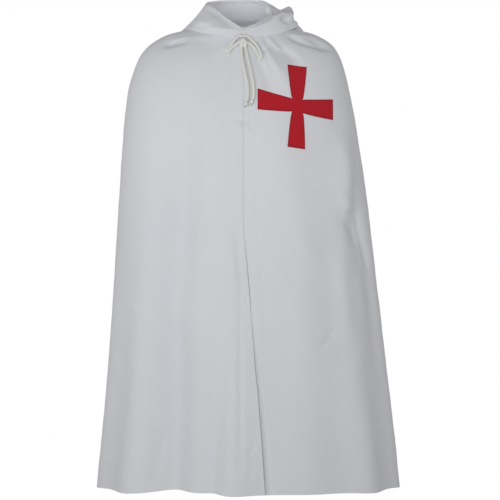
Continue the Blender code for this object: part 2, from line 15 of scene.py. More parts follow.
import bpy
import numpy as np
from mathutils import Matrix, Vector

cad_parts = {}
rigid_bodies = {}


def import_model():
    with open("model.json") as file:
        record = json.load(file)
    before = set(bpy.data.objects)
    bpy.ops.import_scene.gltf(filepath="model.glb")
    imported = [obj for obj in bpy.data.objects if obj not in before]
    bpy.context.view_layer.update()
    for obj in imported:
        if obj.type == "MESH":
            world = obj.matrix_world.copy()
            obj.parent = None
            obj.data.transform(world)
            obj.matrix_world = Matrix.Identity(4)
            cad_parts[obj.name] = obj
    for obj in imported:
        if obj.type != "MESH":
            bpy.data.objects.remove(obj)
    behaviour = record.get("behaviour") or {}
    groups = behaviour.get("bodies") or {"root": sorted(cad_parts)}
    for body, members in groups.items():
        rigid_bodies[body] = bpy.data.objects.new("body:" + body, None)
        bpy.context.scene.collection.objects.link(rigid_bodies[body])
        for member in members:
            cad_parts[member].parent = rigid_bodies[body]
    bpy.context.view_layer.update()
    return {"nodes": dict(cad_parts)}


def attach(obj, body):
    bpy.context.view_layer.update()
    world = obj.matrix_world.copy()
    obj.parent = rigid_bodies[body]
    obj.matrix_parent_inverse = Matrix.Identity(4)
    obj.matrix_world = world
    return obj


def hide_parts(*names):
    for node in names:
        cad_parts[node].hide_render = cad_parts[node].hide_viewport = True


LOG = logging.getLogger("cape")
Array = np.ndarray
Surface = Callable[[Array, Array], Array]
HemLine = tuple[Array, Array]
Row = TypeVar("Row", bound=tuple)
ROOT = "root"
LEFTWARD, BACKWARD, UP = np.eye(3)


class Side(IntEnum):
    """The wearer's side that a piece is on, as the sign of its x."""

    RIGHT = -1
    BACK = 0
    LEFT = 1


class Section(NamedTuple):
    """One level of the cape: its heights at side, front and back, and its reach each way."""

    side_z: float
    front_z: float
    back_z: float
    right_reach: float
    left_reach: float
    front_reach: float
    back_reach: float
    squareness: float


SECTIONS = (
    Section(0.022, -0.013, 0.017, 0.074, 0.074, 0.076, 0.064, 0.00),
    Section(0.0075, -0.048, 0.003, 0.118, 0.118, 0.090, 0.090, 0.00),
    Section(-0.006, -0.098, -0.040, 0.174, 0.174, 0.110, 0.112, 0.02),
    Section(-0.034, -0.158, -0.105, 0.222, 0.219, 0.129, 0.126, 0.04),
    Section(-0.068, -0.212, -0.165, 0.248, 0.239, 0.141, 0.133, 0.05),
    Section(-0.163, -0.300, -0.262, 0.275, 0.263, 0.151, 0.139, 0.05),
    Section(-0.403, -0.495, -0.480, 0.294, 0.301, 0.163, 0.155, 0.03),
    Section(-0.643, -0.690, -0.682, 0.308, 0.328, 0.180, 0.184, 0.02),
    Section(-0.885, -0.900, -0.897, 0.323, 0.353, 0.202, 0.215, 0.00),
    Section(-1.085, -1.082, -1.085, 0.340, 0.373, 0.230, 0.245, 0.00),
)


class Fold(NamedTuple):
    """A large ridge (depth above 0) or trough (below 0) that runs down the cloth between two places.

    Angles are degrees round from the front, the wearer's left positive. Start and finish are metres of
    cloth below the neck seam. A fold that runs to the hem grows all the way, any other swells and fades.
    """

    start_angle: float
    finish_angle: float
    start: float
    finish: float
    depth: float
    half_width: float


HEM = 1.2
FOLDS = (
    # Gathers that spread from the drawstring over the left front
    Fold(12, 21, 0.00, 0.24, -0.005, 3.5),
    Fold(20, 31, 0.00, 0.22, 0.006, 4.0),
    Fold(31, 44, 0.00, 0.20, -0.005, 4.5),
    # Creases along the tops of the shoulders
    Fold(64, 72, 0.03, 0.18, -0.005, 5.0),
    Fold(-58, -68, 0.03, 0.16, -0.004, 5.0),
    # Right front
    Fold(-33, -31, 0.08, 0.75, -0.009, 8.0),
    Fold(-31, -29, 0.15, HEM, -0.044, 8.5),
    Fold(-46, -49, 0.35, HEM, 0.020, 9.0),
    Fold(-9, -11, 0.60, HEM, -0.016, 4.0),
    Fold(-15, -16, 0.70, HEM, -0.008, 6.0),
    Fold(-1, -3, 0.60, HEM, 0.018, 7.0),
    # Left front, with the elbow behind it
    Fold(14, 32, 0.00, 1.00, 0.011, 10.0),
    Fold(24, 26, 0.45, HEM, 0.006, 9.0),
    Fold(55, 55, 0.30, 0.56, 0.013, 8.0),
    Fold(60, 61, 0.42, 0.72, -0.010, 6.0),
    Fold(48, 52, 0.60, HEM, 0.021, 9.0),
    Fold(68, 68, 0.42, 1.00, -0.008, 7.0),
    # Sides, by the seams
    Fold(80, 79, 0.55, HEM, 0.010, 7.0),
    Fold(-76, -78, 0.55, HEM, 0.010, 8.0),
    # Flutes of the back
    Fold(103, 106, 0.40, HEM, -0.026, 7.0),
    Fold(119, 121, 0.33, HEM, 0.028, 8.0),
    Fold(136, 136, 0.28, HEM, -0.034, 7.5),
    Fold(151, 150, 0.30, HEM, 0.032, 7.0),
    Fold(166, 164, 0.36, HEM, -0.028, 7.0),
    Fold(179, 178, 0.30, HEM, 0.034, 7.5),
    Fold(-166, -167, 0.26, HEM, -0.036, 7.0),
    Fold(-150, -153, 0.33, HEM, 0.030, 7.5),
    Fold(-136, -138, 0.40, HEM, -0.027, 7.0),
    Fold(-121, -122, 0.30, HEM, 0.033, 8.0),
    Fold(-105, -105, 0.36, HEM, -0.028, 7.0),
)


class Crease(NamedTuple):
    """A small soft trough (depth below 0) or ridge, from one end to the other.

    Its ends are metres right of and above the origin, as the cloth is seen from the front, and its bow is
    how far its middle lies off the straight line between them.
    """

    from_x: float
    from_z: float
    to_x: float
    to_z: float
    bow: float
    depth: float
    half_width: float


FRONT_CREASES = (
    # Tops of the shoulders
    Crease(-0.186, -0.042, -0.119, -0.028, 0.002, -0.0045, 0.006),
    Crease(-0.174, -0.030, -0.117, -0.020, 0.002, 0.0040, 0.005),
    Crease(-0.150, -0.012, -0.015, -0.014, -0.006, 0.0025, 0.007),
    Crease(0.099, -0.011, 0.217, -0.049, -0.004, -0.0065, 0.007),
    Crease(0.108, -0.009, 0.167, -0.021, 0.000, 0.0045, 0.005),
    # Gathers below the drawstring
    Crease(0.030, -0.022, 0.061, -0.061, -0.003, -0.0042, 0.005),
    Crease(0.046, -0.019, 0.070, -0.067, -0.003, 0.0036, 0.005),
    Crease(0.051, -0.019, 0.080, -0.117, -0.005, -0.0042, 0.006),
    Crease(0.058, -0.017, 0.103, -0.056, -0.004, 0.0042, 0.007),
    Crease(0.070, -0.018, 0.145, -0.080, -0.006, -0.0025, 0.008),
    Crease(-0.021, -0.036, -0.038, -0.086, 0.002, -0.0022, 0.006),
    Crease(-0.030, -0.026, -0.070, -0.070, 0.003, 0.0018, 0.008),
    # Pull of the tack at the breast
    Crease(-0.005, -0.2265, 0.014, -0.2265, 0.000, -0.0028, 0.005),
    Crease(-0.018, -0.214, 0.003, -0.225, 0.001, -0.0018, 0.004),
    Crease(0.028, -0.214, 0.006, -0.225, 0.001, -0.0018, 0.004),
    Crease(-0.014, -0.245, 0.003, -0.230, 0.001, 0.0014, 0.004),
    Crease(0.022, -0.248, 0.006, -0.230, 0.001, 0.0014, 0.004),
    # Left front and the elbow behind it
    Crease(0.095, -0.326, 0.136, -0.639, -0.006, -0.0040, 0.030),
    Crease(0.243, -0.398, 0.257, -0.435, 0.002, 0.0050, 0.014),
    Crease(0.243, -0.444, 0.269, -0.523, 0.004, -0.0060, 0.012),
    Crease(0.271, -0.419, 0.308, -0.593, -0.004, -0.0050, 0.008),
    Crease(0.220, -0.704, 0.174, -0.760, 0.003, -0.0030, 0.008),
    Crease(0.109, -0.913, 0.294, -0.911, 0.001, -0.0010, 0.004),
    Crease(0.120, -0.862, 0.250, -0.865, -0.002, -0.0007, 0.004),
    Crease(0.016, -0.526, 0.048, -0.524, 0.001, -0.0014, 0.004),
    Crease(0.230, -0.480, 0.250, -0.760, 0.000, 0.0060, 0.020),
    # Right front
    Crease(-0.126, -0.080, -0.122, -0.680, 0.000, -0.0100, 0.030),
    Crease(-0.089, -0.535, -0.096, -0.616, 0.005, -0.0034, 0.012),
    Crease(-0.175, -0.667, -0.133, -0.709, 0.003, -0.0030, 0.014),
    Crease(-0.161, -0.718, -0.128, -0.744, -0.002, -0.0026, 0.011),
    Crease(-0.186, -0.690, -0.158, -0.732, 0.003, 0.0026, 0.012),
    Crease(-0.003, -0.593, -0.003, -1.085, 0.001, -0.0040, 0.008),
    Crease(-0.184, -0.929, -0.212, -1.085, 0.004, -0.0060, 0.014),
    Crease(0.034, -0.969, 0.011, -0.992, 0.002, -0.0028, 0.006),
    Crease(0.030, -1.029, 0.009, -1.050, -0.002, -0.0028, 0.006),
    Crease(-0.003, -0.635, 0.011, -0.642, 0.000, 0.0018, 0.004),
    Crease(-0.001, -0.681, 0.013, -0.690, 0.000, 0.0018, 0.004),
    Crease(-0.001, -0.709, 0.013, -0.718, 0.000, 0.0016, 0.004),
)
BACK_CREASES = (
    # Tops of the shoulders, as on the front
    Crease(-0.120, -0.010, -0.205, -0.062, 0.004, -0.0035, 0.008),
    Crease(0.122, -0.008, 0.210, -0.058, -0.004, -0.0040, 0.008),
    # Pulls below the weight of the hood
    Crease(-0.085, -0.270, -0.150, -0.420, 0.006, -0.0035, 0.012),
    Crease(0.075, -0.285, 0.128, -0.405, -0.005, -0.0030, 0.011),
    Crease(0.012, -0.300, 0.004, -0.430, 0.003, 0.0028, 0.010),
    # Crumples
    Crease(-0.195, -0.510, -0.130, -0.560, 0.004, -0.0028, 0.009),
    Crease(0.115, -0.590, 0.182, -0.548, 0.004, -0.0026, 0.009),
    Crease(-0.060, -0.690, 0.012, -0.735, -0.004, -0.0024, 0.008),
    Crease(0.200, -0.780, 0.250, -0.842, 0.003, -0.0028, 0.009),
    Crease(-0.240, -0.800, -0.190, -0.864, -0.004, -0.0026, 0.009),
    # Marks of the packing fold
    Crease(-0.270, -0.905, -0.050, -0.912, 0.001, -0.0010, 0.004),
    Crease(0.040, -0.910, 0.260, -0.904, 0.001, -0.0010, 0.004),
)


class FrontEdge(NamedTuple):
    """Free edges of the two fronts at one level, and how far each edge sinks behind the other."""

    down: float
    right_x: float
    left_x: float
    right_sink: float
    left_sink: float
    left_ease: float


FRONT_EDGES = (
    FrontEdge(0.000, 0.0040, 0.0052, 0.000, 0.000, 0.012),
    FrontEdge(0.045, 0.0044, 0.0048, 0.000, 0.000, 0.012),
    FrontEdge(0.465, 0.0044, 0.0048, 0.000, 0.000, 0.012),
    FrontEdge(0.605, 0.0148, 0.0154, 0.005, 0.000, 0.014),
    FrontEdge(0.710, 0.0218, 0.0226, 0.002, 0.002, 0.014),
    FrontEdge(0.768, 0.0253, 0.0240, 0.000, 0.004, 0.014),
    FrontEdge(0.850, 0.0310, 0.0225, 0.000, 0.006, 0.014),
    FrontEdge(0.926, 0.0379, 0.0200, 0.000, 0.007, 0.015),
    FrontEdge(1.150, 0.0536, 0.0180, 0.000, 0.009, 0.020),
)


class HoodSection(NamedTuple):
    """One section of the hood, at an angle round the neck from the throat.

    The face edge comes first, then the middle of the outer slope with the dip between them. The bag
    hangs that far down the cape below the neck seam and stands that far off it.
    """

    angle: float
    edge_reach: float
    edge_z: float
    slope_reach: float
    slope_z: float
    dip: float
    bag_down: float
    bag_bulge: float


HOOD_BACK = HoodSection(180, 0.087, 0.086, 0.150, 0.004, 0.000, 0.300, 0.046)
HOOD_RIGHT = (
    HoodSection(-3.05, 0.080, -0.002, 0.0825, -0.008, 0.000, 0.004, 0.0006),
    HoodSection(25, 0.080, 0.026, 0.092, -0.004, 0.000, 0.013, 0.0006),
    HoodSection(45, 0.078, 0.046, 0.099, 0.006, 0.000, 0.029, 0.0008),
    HoodSection(70, 0.076, 0.062, 0.107, 0.025, 0.000, 0.046, 0.0014),
    HoodSection(90, 0.076, 0.069, 0.109, 0.038, 0.000, 0.058, 0.0035),
    HoodSection(115, 0.083, 0.077, 0.121, 0.032, 0.000, 0.076, 0.011),
    HoodSection(135, 0.086, 0.081, 0.140, 0.020, 0.000, 0.150, 0.030),
    HoodSection(155, 0.087, 0.084, 0.148, 0.009, 0.000, 0.260, 0.042),
    HoodSection(168, 0.087, 0.085, 0.150, 0.005, 0.000, 0.292, 0.045),
    HOOD_BACK,
)
HOOD_LEFT = (
    HoodSection(3.15, 0.080, -0.002, 0.0825, -0.008, 0.000, 0.004, 0.0006),
    HoodSection(25, 0.086, 0.014, 0.090, 0.002, 0.000, 0.013, 0.0006),
    HoodSection(45, 0.085, 0.033, 0.097, 0.018, 0.000, 0.030, 0.0009),
    HoodSection(70, 0.067, 0.053, 0.107, 0.040, 0.003, 0.044, 0.0050),
    HoodSection(90, 0.062, 0.062, 0.1235, 0.047, 0.005, 0.0540, 0.0225),
    HoodSection(112, 0.0625, 0.069, 0.1235, 0.067, 0.011, 0.058, 0.026),
    HoodSection(135, 0.071, 0.079, 0.143, 0.046, 0.010, 0.145, 0.034),
    HoodSection(155, 0.082, 0.084, 0.149, 0.016, 0.002, 0.256, 0.043),
    HoodSection(168, 0.087, 0.085, 0.150, 0.006, 0.000, 0.291, 0.045),
    HOOD_BACK,
)
HOOD_FRONT_CREASES = (
    Crease(-0.142, -0.012, -0.088, 0.050, 0.003, -0.0020, 0.007),
    Crease(-0.120, 0.010, -0.050, 0.012, -0.004, -0.0018, 0.006),
    Crease(-0.014, -0.002, -0.090, 0.056, -0.004, -0.0040, 0.0100),
    # Standing fold at the left side, with its hollow
    Crease(0.107, 0.014, 0.113, 0.038, 0.002, -0.0120, 0.0115),
    Crease(0.072, 0.040, 0.096, 0.0485, 0.000, -0.0045, 0.006),
    Crease(0.068, 0.025, 0.105, 0.0435, 0.001, 0.0030, 0.005),
)
HOOD_BACK_CREASES = (
    Crease(-0.060, 0.040, -0.105, -0.110, 0.010, -0.0040, 0.012),
    Crease(0.045, 0.050, 0.100, -0.090, -0.010, -0.0045, 0.012),
    Crease(-0.020, -0.030, -0.055, -0.190, 0.008, 0.0035, 0.014),
    Crease(0.030, -0.060, 0.062, -0.210, -0.008, 0.0030, 0.012),
    Crease(-0.095, -0.020, -0.030, -0.060, -0.006, -0.0030, 0.009),
    Crease(0.090, 0.010, 0.030, -0.040, 0.006, -0.0030, 0.009),
)


class Ripple(NamedTuple):
    """A wave over the cloth: its radians a metre along each axis and where it starts."""

    along_x: float
    along_y: float
    along_z: float
    start: float


SLOW_RIPPLES = (Ripple(61, 17, 23, 0.0), Ripple(-29, 0, 37, 1.1))
QUICK_RIPPLES = (Ripple(53, 0, 97, 0.7), Ripple(83, 31, -41, 2.3))

# Routes of the bow in metres right of and above its knot, as seen from the front
LOOP_RIGHT_ROUTE = (
    (-0.0040, 0.0160),
    (-0.0120, 0.0140),
    (-0.0210, 0.0050),
    (-0.0320, -0.0070),
    (-0.0398, -0.0165),
    (-0.0362, -0.0208),
    (-0.0250, -0.0110),
    (-0.0119, -0.0008),
)
LOOP_LEFT_ROUTE = (
    (0.0035, 0.0160),
    (0.0110, 0.0140),
    (0.0205, 0.0050),
    (0.0320, -0.0090),
    (0.0410, -0.0240),
    (0.0432, -0.0345),
    (0.0378, -0.0400),
    (0.0338, -0.0276),
    (0.0259, -0.0139),
    (0.0140, -0.0025),
)
TAIL_RIGHT_ROUTE = (
    (-0.0042, -0.0096),
    (-0.0045, -0.0220),
    (-0.0020, -0.0420),
    (0.0023, -0.0630),
    (0.0094, -0.0980),
    (0.0108, -0.1290),
    (0.0075, -0.1420),
)
TAIL_LEFT_ROUTE = (
    (0.0042, -0.0096),
    (0.0070, -0.0220),
    (0.0130, -0.0480),
    (0.0190, -0.0750),
    (0.0235, -0.0986),
    (0.0250, -0.1260),
    (0.0215, -0.1370),
)


def ease(value: Array) -> Array:
    """Smooth step from 0 to 1."""
    value = np.clip(value, 0.0, 1.0)
    return value * value * (3 - 2 * value)


def unit(vectors: Array) -> Array:
    """Vectors of length one."""
    return vectors / np.linalg.norm(vectors, axis=-1, keepdims=True)


def smooth_through(knots: Array, values: Array, at: Array) -> Array:
    """Smooth curve through the rows of a table that never overshoots between two of them.

    Args:
        knots: increasing places of the rows.
        values: the table's values at those rows.
        at: places where the curve is wanted.

    Returns:
        The curve's values there.
    """
    knots = np.asarray(knots, dtype=float)
    values = np.asarray(values, dtype=float)
    step = np.diff(knots)
    slope = np.diff(values) / step
    same_way = slope[:-1] * slope[1:] > 0
    total = np.where(same_way, slope[:-1] + slope[1:], 1.0)
    middle = np.where(same_way, 2 * slope[:-1] * slope[1:] / total, 0.0)
    tangent = np.concatenate((slope[:1], middle, slope[-1:]))
    cell = np.clip(np.searchsorted(knots, at) - 1, 0, len(step) - 1)
    along = (at - knots[cell]) / step[cell]
    rise = values[cell + 1] - values[cell]
    first = tangent[cell] * step[cell]
    last = tangent[cell + 1] * step[cell]
    bend = 3 * rise - 2 * first - last
    twist = first + last - 2 * rise
    return values[cell] + along * (first + along * (bend + along * twist))


def table_row(rows: Sequence[Row], knots: Sequence[float], at: Array) -> Row:
    """Row of a table at places between its rows, smooth from each to the next.

    Args:
        rows: the table.
        knots: increasing places of its rows.
        at: places where a row is wanted.

    Returns:
        A row that has a value of each column for every place.
    """
    columns = np.array(rows).T
    return type(rows[0])(*(smooth_through(knots, column, at) for column in columns))


def lengths_along(points: Array) -> Array:
    """Length from the first point of a line to each of its points."""
    steps = np.linalg.norm(np.diff(points, axis=0), axis=-1)
    return np.concatenate((np.zeros_like(steps[:1]), np.cumsum(steps, axis=0)))


def values_at(at: Array, length: Array, values: Array) -> Array:
    """Values at some lengths along a line, from those that are given at others."""
    return np.stack([np.interp(at, length, column) for column in values.T], axis=-1)


def resample(points: Array, at: Array) -> Array:
    """Points of a line at these lengths along it."""
    return values_at(at, lengths_along(points), points)


def smooth_route(points: Sequence, count: int, steps: int = 12) -> Array:
    """Evenly spaced points on a smooth curve through the given ones.

    Args:
        points: the places that the curve passes.
        count: how many points are wanted.
        steps: how finely each stretch is followed.

    Returns:
        The points, one row each.
    """
    points = np.asarray(points, dtype=float)
    padded = np.concatenate((2 * points[:1] - points[1:2], points, 2 * points[-1:] - points[-2:-1]))
    share = np.linspace(0.0, 1.0, steps + 1)[:-1, None]
    stretches = []
    for before, start, finish, after in zip(padded, padded[1:], padded[2:], padded[3:]):
        bend = 2 * before - 5 * start + 4 * finish - after
        twist = 3 * start - before - 3 * finish + after
        stretches.append(start + 0.5 * share * (finish - before + share * (bend + share * twist)))
    fine = np.concatenate(stretches + [points[-1:]])
    return resample(fine, np.linspace(0.0, lengths_along(fine)[-1], count))


def crease_height(creases: Sequence[Crease], points: Array, taper: float = 0.3) -> Array:
    """How far these creases lift the cloth.

    Args:
        creases: the creases.
        points: places on the cloth, seen along Y.
        taper: share of a crease's length over which it fades at each end.

    Returns:
        The lift at each place in metres.
    """
    height = np.zeros(points.shape[:-1])
    for crease in creases:
        run = np.array((crease.to_x - crease.from_x, crease.to_z - crease.from_z))
        length = np.linalg.norm(run)
        right = points[..., 0] - crease.from_x
        above = points[..., 2] - crease.from_z
        along = np.clip((right * run[0] + above * run[1]) / length ** 2, 0.0, 1.0)
        across = (above * run[0] - right * run[1]) / length - 4 * crease.bow * along * (1 - along)
        fade = ease(along / taper) * ease((1 - along) / taper)
        height += crease.depth * fade * np.exp(-((across / crease.half_width) ** 2))
    return height


def crease_lift(front: Sequence[Crease], back: Sequence[Crease], points: Array, blend: float) -> Array:
    """How far the creases of the front and of the back lift the cloth.

    Args:
        front: creases of the front.
        back: creases of the back.
        points: places on the cloth.
        blend: how far each side of the middle one set gives way to the other.

    Returns:
        The lift at each place in metres.
    """
    share = ease(0.5 - 0.5 * points[..., 1] / blend)
    return share * crease_height(front, points) + (1 - share) * crease_height(back, points)


@dataclass(frozen=True)
class CapeForm:
    """Outer face of the worn cape, by angle round from the front and cloth length below the neck seam."""

    fold_droop: float = 0.25
    side_blend: float = 0.03
    uneven_height: float = 0.0004
    quick_share: float = 0.6
    slope_step: float = 1e-4
    back_fullness: float = 0.045
    right_sink_hold: float = 0.017
    right_sink_ease: float = 0.016
    front_guess: float = 0.02
    front_guess_limit: float = 0.9
    front_tries: int = 12

    @cached_property
    def levels(self) -> Array:
        """Cloth length from the neck seam to each section, the mean of front, sides and back.

        Returns:
            The lengths, one for each section.
        """
        step = Section(*np.diff(np.array(SECTIONS), axis=0).T)
        front = np.hypot(step.front_z, step.front_reach)
        back = np.hypot(step.back_z, step.back_reach)
        right = np.hypot(step.side_z, step.right_reach)
        left = np.hypot(step.side_z, step.left_reach)
        return np.concatenate(([0.0], np.cumsum((front + back + right + left) / 4)))

    @property
    def length(self) -> float:
        """Cloth length from the neck seam to the hem."""
        return float(self.levels[-1])

    def section_at(self, down: Array) -> Section:
        """Section of the cape at that much cloth below the neck seam."""
        return table_row(SECTIONS, self.levels, down)

    def fold_height(self, angle: Array, down: Array) -> Array:
        """How far the folds lift the cloth.

        Args:
            angle: angles round from the front.
            down: cloth lengths below the neck seam.

        Returns:
            The lift at each place in metres.
        """
        height = np.zeros(np.broadcast(angle, down).shape)
        for fold in FOLDS:
            finish = min(fold.finish, self.length)
            along = np.clip((down - fold.start) / (finish - fold.start), 0.0, 1.0)
            middle = np.radians(fold.start_angle + (fold.finish_angle - fold.start_angle) * along)
            away = np.remainder(angle - middle + math.pi, 2 * math.pi) - math.pi
            swell = ease(along) if fold.finish > self.length else np.sin(math.pi * along) ** 2
            height += fold.depth * swell * np.exp(-((away / math.radians(fold.half_width)) ** 2))
        return height

    def plain_point(self, angle: Array, down: Array) -> Array:
        """Point of the cape before its folds.

        Args:
            angle: angles round from the front.
            down: cloth lengths below the neck seam.

        Returns:
            The points.
        """
        row = self.section_at(down)
        sine = np.sin(angle)
        cosine = np.cos(angle)
        wide = np.where(sine < 0, row.right_reach, row.left_reach)
        deep = np.where(cosine > 0, row.front_reach, row.back_reach)
        fullness = row.squareness + np.where(cosine > 0, 0.0, self.back_fullness)
        swell = 1 + fullness * np.sin(2 * angle) ** 2
        end_z = np.where(cosine > 0, row.front_z, row.back_z)
        height = row.side_z + (end_z - row.side_z) * cosine ** 2
        return np.stack((wide * swell * sine, -deep * swell * cosine, height), axis=-1)

    def outward(self, surface: Surface, angle: Array, down: Array) -> Array:
        """Unit vectors pointing out of a surface.

        Args:
            surface: its points by angle and cloth length.
            angle: angles round from the front.
            down: cloth lengths below the neck seam.

        Returns:
            The vectors.
        """
        step = self.slope_step
        around = surface(angle + step, down) - surface(angle - step, down)
        along = surface(angle, down + step) - surface(angle, down - step)
        return unit(np.cross(along, around))

    def folded_point(self, angle: Array, down: Array) -> Array:
        """Point of the cape with its folds.

        Args:
            angle: angles round from the front.
            down: cloth lengths below the neck seam.

        Returns:
            The points.
        """
        height = self.fold_height(angle, down)
        way = self.outward(self.plain_point, angle, down)
        way[..., 2] -= self.fold_droop * ease(down / self.length)
        return self.plain_point(angle, down) + height[..., None] * way

    def unevenness(self, points: Array) -> Array:
        """Slight waviness of cloth that has been worn and packed.

        Args:
            points: places on the cloth.

        Returns:
            The lift at each place in metres.
        """
        slow, quick = (
            math.prod(np.sin(points @ np.array(ripple[:3]) + ripple.start) for ripple in ripples)
            for ripples in (SLOW_RIPPLES, QUICK_RIPPLES)
        )
        return self.uneven_height * (slow + self.quick_share * quick)

    def skin_point(self, angle: Array, down: Array) -> Array:
        """Point of the cape with its folds and creases.

        Args:
            angle: angles round from the front.
            down: cloth lengths below the neck seam.

        Returns:
            The points.
        """
        points = self.folded_point(angle, down)
        height = crease_lift(FRONT_CREASES, BACK_CREASES, points, self.side_blend)
        height += self.unevenness(points)
        return points + height[..., None] * self.outward(self.plain_point, angle, down)

    def front_edge_at(self, down: Array) -> FrontEdge:
        """Row of the front edge table at these levels."""
        return table_row(FRONT_EDGES, [edge.down for edge in FRONT_EDGES], down)

    def sunk_point(self, angle: Array, down: Array, sink: Array) -> Array:
        """Point that far behind the cape's outer face."""
        return self.skin_point(angle, down) - sink[..., None] * self.outward(self.plain_point, angle, down)

    def right_front_point(self, angle: Array, down: Array) -> Array:
        """Outer face of the right front, whose edge sinks behind the left front below the breast.

        Args:
            angle: angles round from the front.
            down: cloth lengths below the neck seam.

        Returns:
            The points.
        """
        row = self.front_edge_at(down)
        inside = row.right_x - self.plain_point(angle, down)[..., 0]
        sink = row.right_sink * (1 - ease((inside - self.right_sink_hold) / self.right_sink_ease))
        return self.sunk_point(angle, down, sink)

    def left_front_point(self, angle: Array, down: Array) -> Array:
        """Outer face of the left front, which goes under the right front lower down.

        Args:
            angle: angles round from the front.
            down: cloth lengths below the neck seam.

        Returns:
            The points.
        """
        row = self.front_edge_at(down)
        inside = self.plain_point(angle, down)[..., 0] - np.maximum(row.right_x, row.left_x)
        sink = row.left_sink * (1 - ease(inside / row.left_ease))
        return self.sunk_point(angle, down, sink)

    def edge_angle(self, x: Array, down: Array) -> Array:
        """Angle round the cape at which its front has this x."""
        row = self.section_at(down)
        return np.arcsin(x / np.where(x < 0, row.right_reach, row.left_reach))

    def above(self, angle: Array, down: Array, lift: Array) -> Array:
        """Points that far above the cape's outer face."""
        angle, down, lift = np.broadcast_arrays(angle, down, lift)
        return self.skin_point(angle, down) + lift[..., None] * self.outward(self.skin_point, angle, down)

    def front_place(self, x: Array, z: Array) -> tuple[Array, Array]:
        """Angles and cloth lengths of the front's points that have these x and z.

        Args:
            x: places to the wearer's left.
            z: heights.

        Returns:
            Angles round from the front, and cloth lengths below the neck seam.
        """
        x, z = np.broadcast_arrays(x, z)
        down = self.front_guess - z
        reach = x / self.section_at(down).left_reach
        angle = np.arcsin(np.clip(reach, -self.front_guess_limit, self.front_guess_limit))
        step = self.slope_step
        for _ in range(self.front_tries):
            here = self.folded_point(angle, down)
            turned = (self.folded_point(angle + step, down) - here) / step
            lowered = (self.folded_point(angle, down + step) - here) / step
            short_x = x - here[..., 0]
            short_z = z - here[..., 2]
            area = turned[..., 0] * lowered[..., 2] - turned[..., 2] * lowered[..., 0]
            angle = angle + (short_x * lowered[..., 2] - short_z * lowered[..., 0]) / area
            down = down + (turned[..., 0] * short_z - turned[..., 2] * short_x) / area
        return angle, down

    def above_front(self, x: Array, z: Array, lift: Array) -> Array:
        """Points that far in front of the cape's front, at this x and z of the cloth."""
        return self.above(*self.front_place(x, z), lift)

    def front_outward(self, x: Array, z: Array) -> Array:
        """Unit vectors pointing out of the cape's front, at this x and z of the cloth."""
        return self.outward(self.skin_point, *self.front_place(x, z))


class Shape(NamedTuple):
    """Points and four-sided faces of a mesh, with the flat place of each point on its cloth."""

    points: Array
    faces: Array
    flat: Array


def joined(shapes: Sequence[Shape]) -> Shape:
    """One shape of several.

    Args:
        shapes: the shapes.

    Returns:
        All their points and faces.
    """
    starts = np.cumsum([0] + [len(shape.points) for shape in shapes[:-1]])
    return Shape(
        np.concatenate([shape.points for shape in shapes]),
        np.concatenate([shape.faces + start for shape, start in zip(shapes, starts)]),
        np.concatenate([shape.flat for shape in shapes]),
    )


def grid_quads(numbers: Array) -> Array:
    """Faces over a grid of point numbers, that face to the side where rows go down and columns right."""
    corners = (numbers[:-1, :-1], numbers[1:, :-1], numbers[1:, 1:], numbers[:-1, 1:])
    return np.stack(corners, axis=-1).reshape(-1, 4)


@dataclass
class ClothGrid:
    """Grid of points over a piece of cloth: its outer face, its inner face and its flat places."""

    outer: Array
    inner: Array
    flat: Array

    def normals(self) -> Array:
        """Unit vectors through the cloth from its inner to its outer face."""
        return unit(self.outer - self.inner)

    def wall(self) -> Shape:
        """Closed wall between the two faces.

        Returns:
            The wall's points and faces.
        """
        rows, columns = self.outer.shape[:2]
        front = np.arange(rows * columns).reshape(rows, columns)
        rear = front + rows * columns
        strips = (
            np.stack((rear[0], front[0])),
            np.stack((front[-1], rear[-1])),
            np.stack((front[:, 0], rear[:, 0]))[:, ::-1],
            np.stack((rear[:, -1], front[:, -1]))[:, ::-1],
        )
        faces = [grid_quads(front), grid_quads(rear)[:, ::-1]]
        faces.extend(grid_quads(strip) for strip in strips)
        points = np.concatenate((self.outer.reshape(-1, 3), self.inner.reshape(-1, 3)))
        flat = np.tile(self.flat.reshape(-1, 2), (2, 1))
        return Shape(points, np.concatenate(faces), flat)

    def row_line(self, distance: float, from_end: bool) -> HemLine:
        """Line across the cloth, that far from its first row or its last.

        Args:
            distance: cloth length to that row.
            from_end: whether it is measured from the last row.

        Returns:
            Points of the line and the directions out of the cloth there.
        """
        points = self.outer[::-1] if from_end else self.outer
        normals = self.normals()[::-1] if from_end else self.normals()
        away = lengths_along(points).T
        places = [values_at(distance, *column) for column in zip(away, points.swapaxes(0, 1))]
        ways = [values_at(distance, *column) for column in zip(away, normals.swapaxes(0, 1))]
        return np.array(places), unit(np.array(ways))

    def turned(self) -> "ClothGrid":
        """The same cloth with its rows and columns changed over."""
        return ClothGrid(*(points.swapaxes(0, 1) for points in (self.outer, self.inner, self.flat)))

    def flipped(self) -> "ClothGrid":
        """The same cloth with its columns in the other order."""
        return ClothGrid(*(points[:, ::-1] for points in (self.outer, self.inner, self.flat)))


class ThreadRing(NamedTuple):
    """One ring of a stitch: its share of the length, its width and its lift in thread radii."""

    share: float
    width: float
    lift: float


STITCH_RINGS = (
    ThreadRing(0.00, 0.35, -0.6),
    ThreadRing(0.15, 0.90, 0.3),
    ThreadRing(0.50, 1.00, 0.8),
    ThreadRing(0.85, 0.90, 0.3),
    ThreadRing(1.00, 0.35, -0.6),
)
STITCH_SIDES = 4


class StitchRow(NamedTuple):
    """Sizes of a row of stitches: length from one to the next, length between two, radius of the thread."""

    pitch: float
    gap: float
    radius: float


HEM_STITCH = StitchRow(0.0034, 0.0007, 0.00022)


